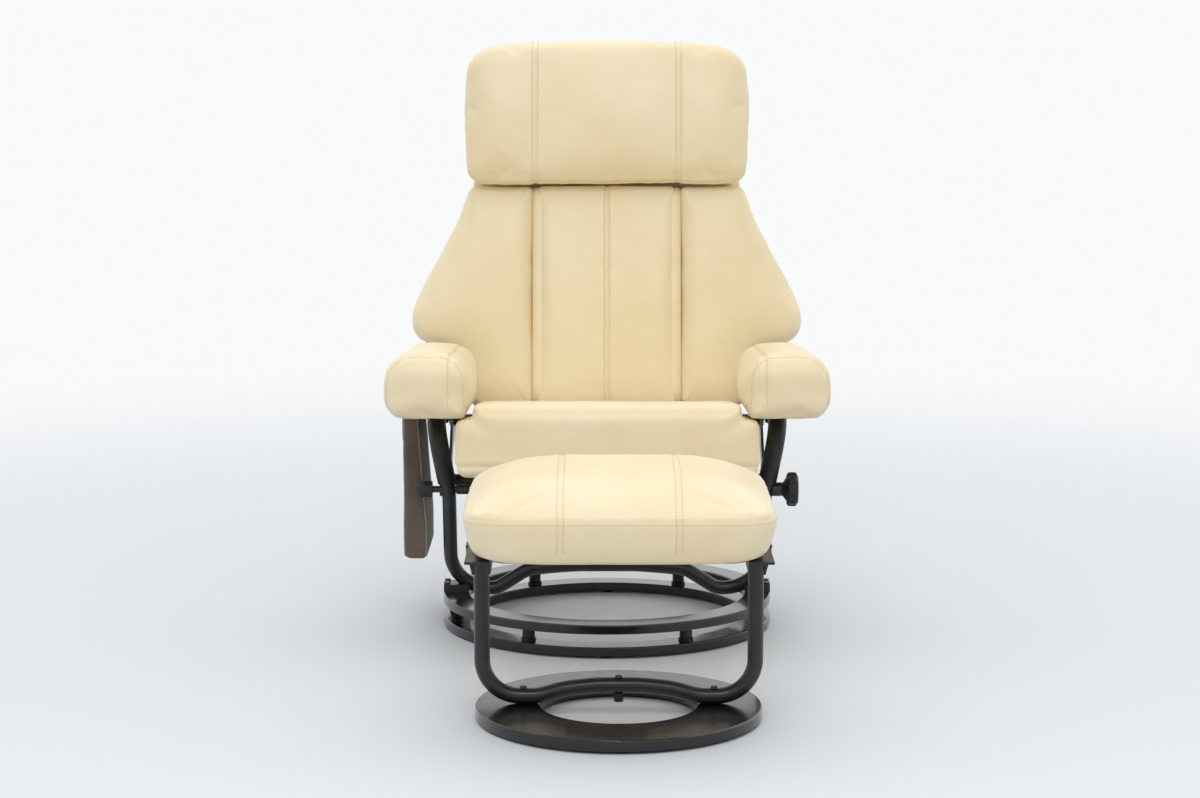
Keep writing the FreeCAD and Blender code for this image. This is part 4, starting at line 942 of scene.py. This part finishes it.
# ---------------------------------------- leather welts beside the middle panel
def build_welt(x, name):
    """Sewn roll of leather that closes the gap between two panels of the back."""
    sgn = 1 if x > 0 else -1
    t = np.linspace(0, 1, 110)
    z = 0.0175 + (0.4265 - 0.0175) * t
    # front of the middle panel beside it, which the roll carries on level with
    me = bpy.data.objects["back_centre_cushion"].data
    inv = BACK.inverted()
    bvh = BVHTree.FromPolygons([inv @ v.co for v in me.vertices], [tuple(f.vertices) for f in me.polygons])
    front = []
    for h in z:
        hit = bvh.ray_cast(Vector((sgn * 0.1215, -0.2, h)), Vector((0, 1, 0)))
        front.append(hit[0].y if hit[0] is not None else -0.080)
    front = np.convolve(np.pad(front, 6, mode="edge"), np.ones(13) / 13, mode="valid")
    drop = np.where(t < 0.05, 0.008 * (1 - t / 0.05) ** 2, 0) + np.where(t > 0.95, 0.008 * (1 - (1 - t) / 0.05) ** 2, 0)
    # half section, from the middle panel's side to the bolster's: (across, depth behind that front)
    prof = [(0.1160, 0.0045), (0.1180, 0.0024), (0.1205, 0.0012), (0.1240, 0.0005), (0.1275, 0.0003), (0.1310, 0.0006),
            (0.1345, 0.0016), (0.1372, 0.0033), (0.1392, 0.0058), (0.1405, 0.0090), (0.1405, 0.0140), (0.1160, 0.0140)]
    k = len(prof)
    V = np.array([(sgn * px, f + d + e, h) for h, f, e in zip(z, front, drop) for px, d in prof])
    F = [(i * k + j, i * k + (j + 1) % k, (i + 1) * k + (j + 1) % k, (i + 1) * k + j)
         for i in range(len(z) - 1) for j in range(k)]
    F += [tuple(range(k))[::-1], tuple((len(z) - 1) * k + j for j in range(k))]
    ob = mesh_object(name, V, F, M["cream_leather"])
    bm = bmesh.new()
    bm.from_mesh(ob.data)
    bmesh.ops.recalc_face_normals(bm, faces=bm.faces)
    bm.to_mesh(ob.data)
    bm.free()
    ob.data.shade_smooth()
    ob.data.transform(BACK)
    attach(ob, "backrest")


build_welt(-0.1348, "back_welt_left")
build_welt(0.1348, "back_welt_right")


# ------------------------------------------------- covered shell of the back
def build_shell():
    right = [(0.256, 0.026), (0.260, up(450)), (0.270, up(476)), (0.300, up(490)), (0.340, up(500)), (0.360, up(520)),
             (0.361, up(548)), (0.338, up(596)), (0.302, up(662)), (0.272, up(722)), (0.256, up(790)), (0.248, up(900)),
             (0.238, up(1000)), (0.212, up(1032))]
    pts = right + [(-x, z) for x, z in reversed(right)]
    rr = [0.02, 0.03, 0.05, 0.05, 0.03, 0.03, 0.03, 0.1, 0.2, 0.2, 0.2, 0.2, 0.03, 0.03]
    o = rounded(pts, rr + rr[::-1], 0.008)
    lv = [(-0.0010, 0.004), (-0.0006, 0.0)] + edge_levels(0.004, 0.0690, 0.001, 0.026, 6)[6:]
    ob = stacked("back_shell_cover", o, [(-0.0012, 0.006), (-0.0012, 0.0015), (0.001, 0.0)] + lv[2:])
    remeshed(ob, 0.007, 3)
    me = ob.data
    co, no = get_co(me), get_no(me)
    # gentle crown of the rear face
    rear = np.clip((co[:, 1] - 0.045) / 0.02, 0, 1)
    edge = np.clip(1 - (np.abs(co[:, 0]) / 0.26) ** 2, 0, 1) * np.clip(1 - ((co[:, 2] - 0.36) / 0.36) ** 2, 0, 1)
    co[:, 1] += rear * edge * 0.004 - rear * 0.004
    set_co(me, co)
    m = ob.modifiers.new("s", "SUBSURF")
    m.levels = m.render_levels = 1
    settle(ob)
    return ob


shell = build_shell()
p = dict(name="back_shell_cover", ob=shell, place=BACK,
         seams=[dict(axis=0, at=-0.150, depth=0.0020, width=0.0040, roll=0.0005, pucker=0.0008, stitch=(-1, 1),
                     where=lambda co, no: co[:, 1] > 0.03),
                dict(axis=0, at=0.150, depth=0.0020, width=0.0040, roll=0.0005, pucker=0.0008, stitch=(-1, 1),
                     where=lambda co, no: co[:, 1] > 0.03),
                dict(axis=1, at=0.030, depth=0.0024, width=0.0040, roll=0.0007, pucker=0.0012, stitch=(1,))])
stitched_pad(p, "backrest", "back_shell", 9, rows=lambda c, n: c.y > 0.02)

# ------------------------------------------------ sewn side pocket with its binding
def blend(a, b, t):
    t = min(1.0, max(0.0, t))
    t = t * t * (3 - 2 * t)
    return a + (b - a) * t


def build_pocket():
    """Open pouch of cloth: outside and inside skins that meet at the rim."""
    y0, y1, zb = -0.030, 0.170, 0.122
    n_long, n_short = 44, 8
    ring = []                                   # (across 0..1, along 0..1), counted round the mouth
    for i in range(n_long):
        ring.append((0.0, i / n_long))
    for i in range(n_short):
        ring.append((i / n_short, 1.0))
    for i in range(n_long):
        ring.append((1.0, 1.0 - i / n_long))
    for i in range(n_short):
        ring.append((1.0 - i / n_short, 0.0))

    def inner_x(z):
        return -0.326 - 0.014 * min(1, max(0, (z - 0.185) / 0.190))

    def rim_of(u, v):
        side = blend(0.380, 0.337, (v - 0.04) / 0.10) if v < 0.5 else blend(0.337, 0.380, (v - 0.86) / 0.10)
        if u < 0.01:
            return side
        if u > 0.99:
            return 0.380 + 0.0060 * math.sin(math.pi * v)
        return 0.380

    levels = 46
    verts, outer_rim, inner_rim, normal = [], [], [], []

    def point(u, v, z, wall):
        xo, xi = -0.368, inner_x(z)
        # rounded foot of the pouch
        foot = max(0.0, 1 - (z - zb) / 0.010)
        foot = 1 - math.sqrt(max(0.0, 1 - foot * foot))
        xo += 0.008 * foot + wall
        xi -= 0.006 * foot + wall
        ya, yb = y0 + 0.007 * foot + wall, y1 - 0.007 * foot - wall
        r = 0.006                              # soft corners in plan
        x, y = xo + (xi - xo) * u, ya + (yb - ya) * v
        cx = min(max(x, xo + r), xi - r)
        cy = min(max(y, ya + r), yb - r)
        dx, dy = x - cx, y - cy
        L = math.hypot(dx, dy)
        if L > r:
            x, y = cx + dx / L * r, cy + dy / L * r
        # the cloth bellies out between its sewn edges
        h = (z - zb) / 0.258
        belly = math.sin(math.pi * min(1, max(0, h))) * math.sin(math.pi * v)
        if u < 0.01:
            x -= 0.0028 * belly
        return x, y, z

    for j in range(levels + 1):
        for u, v in ring:
            z = zb + (rim_of(u, v) - zb) * (j / levels)
            verts.append(point(u, v, z, 0.0))
    for j in range(levels, -1, -1):
        for u, v in ring:
            z = zb + 0.0024 + (rim_of(u, v) - zb - 0.0024) * (j / levels)
            verts.append(point(u, v, z, 0.0024))
    n = len(ring)
    faces = []
    rows = 2 * (levels + 1)
    for k in range(rows - 1):
        for i in range(n):
            i2 = (i + 1) % n
            faces.append((k * n + i, k * n + i2, (k + 1) * n + i2, (k + 1) * n + i))
    faces.append(tuple(range(n))[::-1])
    faces.append(tuple((rows - 1) * n + i for i in range(n)))
    co = np.array(verts)
    wob = vnoise(co * np.array([30.0, 26.0, 22.0]), 61) * 0.0009 + vnoise(co * 90.0, 62) * 0.00025
    rise = np.clip((co[:, 2] - zb) / 0.02, 0, 1)
    co[:, 0] += np.where(np.abs(co[:, 0] + 0.368) < 0.006, wob * rise, 0.5 * wob * rise)
    co[:, 1] += 0.4 * wob * rise
    ob = mesh_object("side_pocket_cloth", co, faces, M["taupe_fabric"])
    bm = bmesh.new()
    bm.from_mesh(ob.data)
    bmesh.ops.recalc_face_normals(bm, faces=bm.faces)
    bm.to_mesh(ob.data)
    bm.free()
    ob.data.shade_smooth()
    rim = co[levels * n:(levels + 1) * n]
    # tape over the rim and down the two outer corners
    v1, f1 = tube_arrays(even(rim, 0.004), np.array([(0, 0, 1)] * len(even(rim, 0.004))), 0.0021, 8, True)
    parts_v, parts_f = [v1], [f1]
    base = len(v1)
    for i, nrm in ((0, (-0.7, -0.7, 0.0)), (n_long, (-0.7, 0.7, 0.0)), (n - n_short, (0.7, -0.7, 0.0)),
                   (n_long + n_short, (0.7, 0.7, 0.0))):
        line = co[i:(levels + 1) * n:n][1:]
        line = even(line, 0.004, closed=False)
        v2, f2 = tube_arrays(line, np.array([nrm] * len(line)), 0.0019, 8, False, lift=-0.0002, base=base)
        parts_v.append(v2)
        parts_f.append(f2)
        base += len(v2)
    tape = mesh_object("side_pocket_binding", np.vstack(parts_v), [q for g in parts_f for q in g], BINDING)
    bm = bmesh.new()
    bm.from_mesh(tape.data)
    bmesh.ops.recalc_face_normals(bm, faces=bm.faces)
    bm.to_mesh(tape.data)
    bm.free()
    tape.data.shade_smooth()
    return ob, tape


pocket, pocket_tape = build_pocket()
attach(pocket, "frame")
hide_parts("side_pocket")
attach(pocket_tape, "frame")

# ----------------------------------------------------------------- stage
bm = bmesh.new()
bmesh.ops.create_circle(bm, cap_ends=True, radius=14.0, segments=96)
floor_me = bpy.data.meshes.new("floor")
bm.to_mesh(floor_me)
bm.free()
floor = bpy.data.objects.new("floor", floor_me)
floor.location = (0, 0, -0.0002)
scene.collection.objects.link(floor)
fm = bpy.data.materials.new("floor_paper")
fm.use_nodes = True
t = fm.node_tree
t.nodes.clear()
out = t.nodes.new("ShaderNodeOutputMaterial")
diff = t.nodes.new("ShaderNodeBsdfPrincipled")
diff.inputs["Base Color"].default_value = (0.66, 0.69, 0.72, 1)
diff.inputs["Roughness"].default_value = 0.6
diff.inputs["Specular IOR Level"].default_value = 0.2
clear = t.nodes.new("ShaderNodeBsdfTransparent")
co_n = t.nodes.new("ShaderNodeTexCoord")
ln = t.nodes.new("ShaderNodeVectorMath")
ln.operation = "LENGTH"
t.links.new(co_n.outputs["Object"], ln.inputs[0])
mr = t.nodes.new("ShaderNodeMapRange")
mr.interpolation_type = "SMOOTHSTEP"
mr.inputs["From Min"].default_value = 0.9
mr.inputs["From Max"].default_value = 3.8
t.links.new(ln.outputs["Value"], mr.inputs["Value"])
mx = t.nodes.new("ShaderNodeMixShader")
t.links.new(mr.outputs["Result"], mx.inputs[0])
t.links.new(diff.outputs[0], mx.inputs[1])
t.links.new(clear.outputs[0], mx.inputs[2])
t.links.new(mx.outputs[0], out.inputs[0])
floor_me.materials.append(fm)

world = bpy.data.worlds.new("studio")
scene.world = world
world.use_nodes = True
bg = world.node_tree.nodes["Background"]
wt = world.node_tree
wc = wt.nodes.new("ShaderNodeTexCoord")
ws = wt.nodes.new("ShaderNodeSeparateXYZ")
wt.links.new(wc.outputs["Generated"], ws.inputs[0])


def from_world(socket, lo, hi, a, b):
    n = wt.nodes.new("ShaderNodeMapRange")
    n.interpolation_type = "SMOOTHSTEP"
    n.inputs["From Min"].default_value = lo
    n.inputs["From Max"].default_value = hi
    n.inputs["To Min"].default_value = a
    n.inputs["To Max"].default_value = b
    wt.links.new(socket, n.inputs["Value"])
    return n.outputs["Result"]


# a white room: brightest behind the chair and overhead, dimmer where the viewer stands
behind = from_world(ws.outputs["Y"], -0.4, 0.6, 0.62, 0.96)
above = from_world(ws.outputs["Z"], 0.25, 0.95, 0.0, 0.45)
ad = wt.nodes.new("ShaderNodeMath")
ad.operation = "ADD"
wt.links.new(behind, ad.inputs[0])
wt.links.new(above, ad.inputs[1])
# darker and warmer low down on the viewer's side
front = from_world(ws.outputs["Y"], -0.45, 0.05, 1.0, 0.0)
low = from_world(ws.outputs["Z"], -0.35, 0.02, 1.0, 0.0)
fl = wt.nodes.new("ShaderNodeMath")
fl.operation = "MULTIPLY"
wt.links.new(front, fl.inputs[0])
wt.links.new(low, fl.inputs[1])
dim = from_world(fl.outputs[0], 0.0, 1.0, 1.0, 0.56)
power = wt.nodes.new("ShaderNodeMath")
power.operation = "MULTIPLY"
wt.links.new(ad.outputs[0], power.inputs[0])
wt.links.new(dim, power.inputs[1])
wt.links.new(power.outputs[0], bg.inputs[1])
tint = wt.nodes.new("ShaderNodeMix")
tint.data_type = "RGBA"
wt.links.new(fl.outputs[0], tint.inputs[0])
tint.inputs[6].default_value = (0.985, 0.995, 1.0, 1)
tint.inputs[7].default_value = (1.0, 0.96, 0.89, 1)
wt.links.new(tint.outputs[2], bg.inputs[0])


def area(name, loc, target, size, power, colour=(1, 1, 1)):
    d = bpy.data.lights.new(name, "AREA")
    d.shape = "RECTANGLE"
    d.size, d.size_y = size
    d.energy = power
    d.color = colour
    ob = bpy.data.objects.new(name, d)
    ob.location = loc
    ob.rotation_euler = (Vector(target) - Vector(loc)).to_track_quat("-Z", "Y").to_euler()
    scene.collection.objects.link(ob)
    return ob


area("key", (0.0, -3.2, 3.0), (0, -0.1, 0.7), (1.9, 1.2), 33, (1.0, 1.0, 1.0))
area("top", (0.2, 0.2, 3.7), (0, 0.0, 0.4), (2.6, 2.0), 8, (1, 1, 1))

scene.view_settings.view_transform = "Standard"
scene.view_settings.look = "None"
scene.view_settings.exposure = 0.0
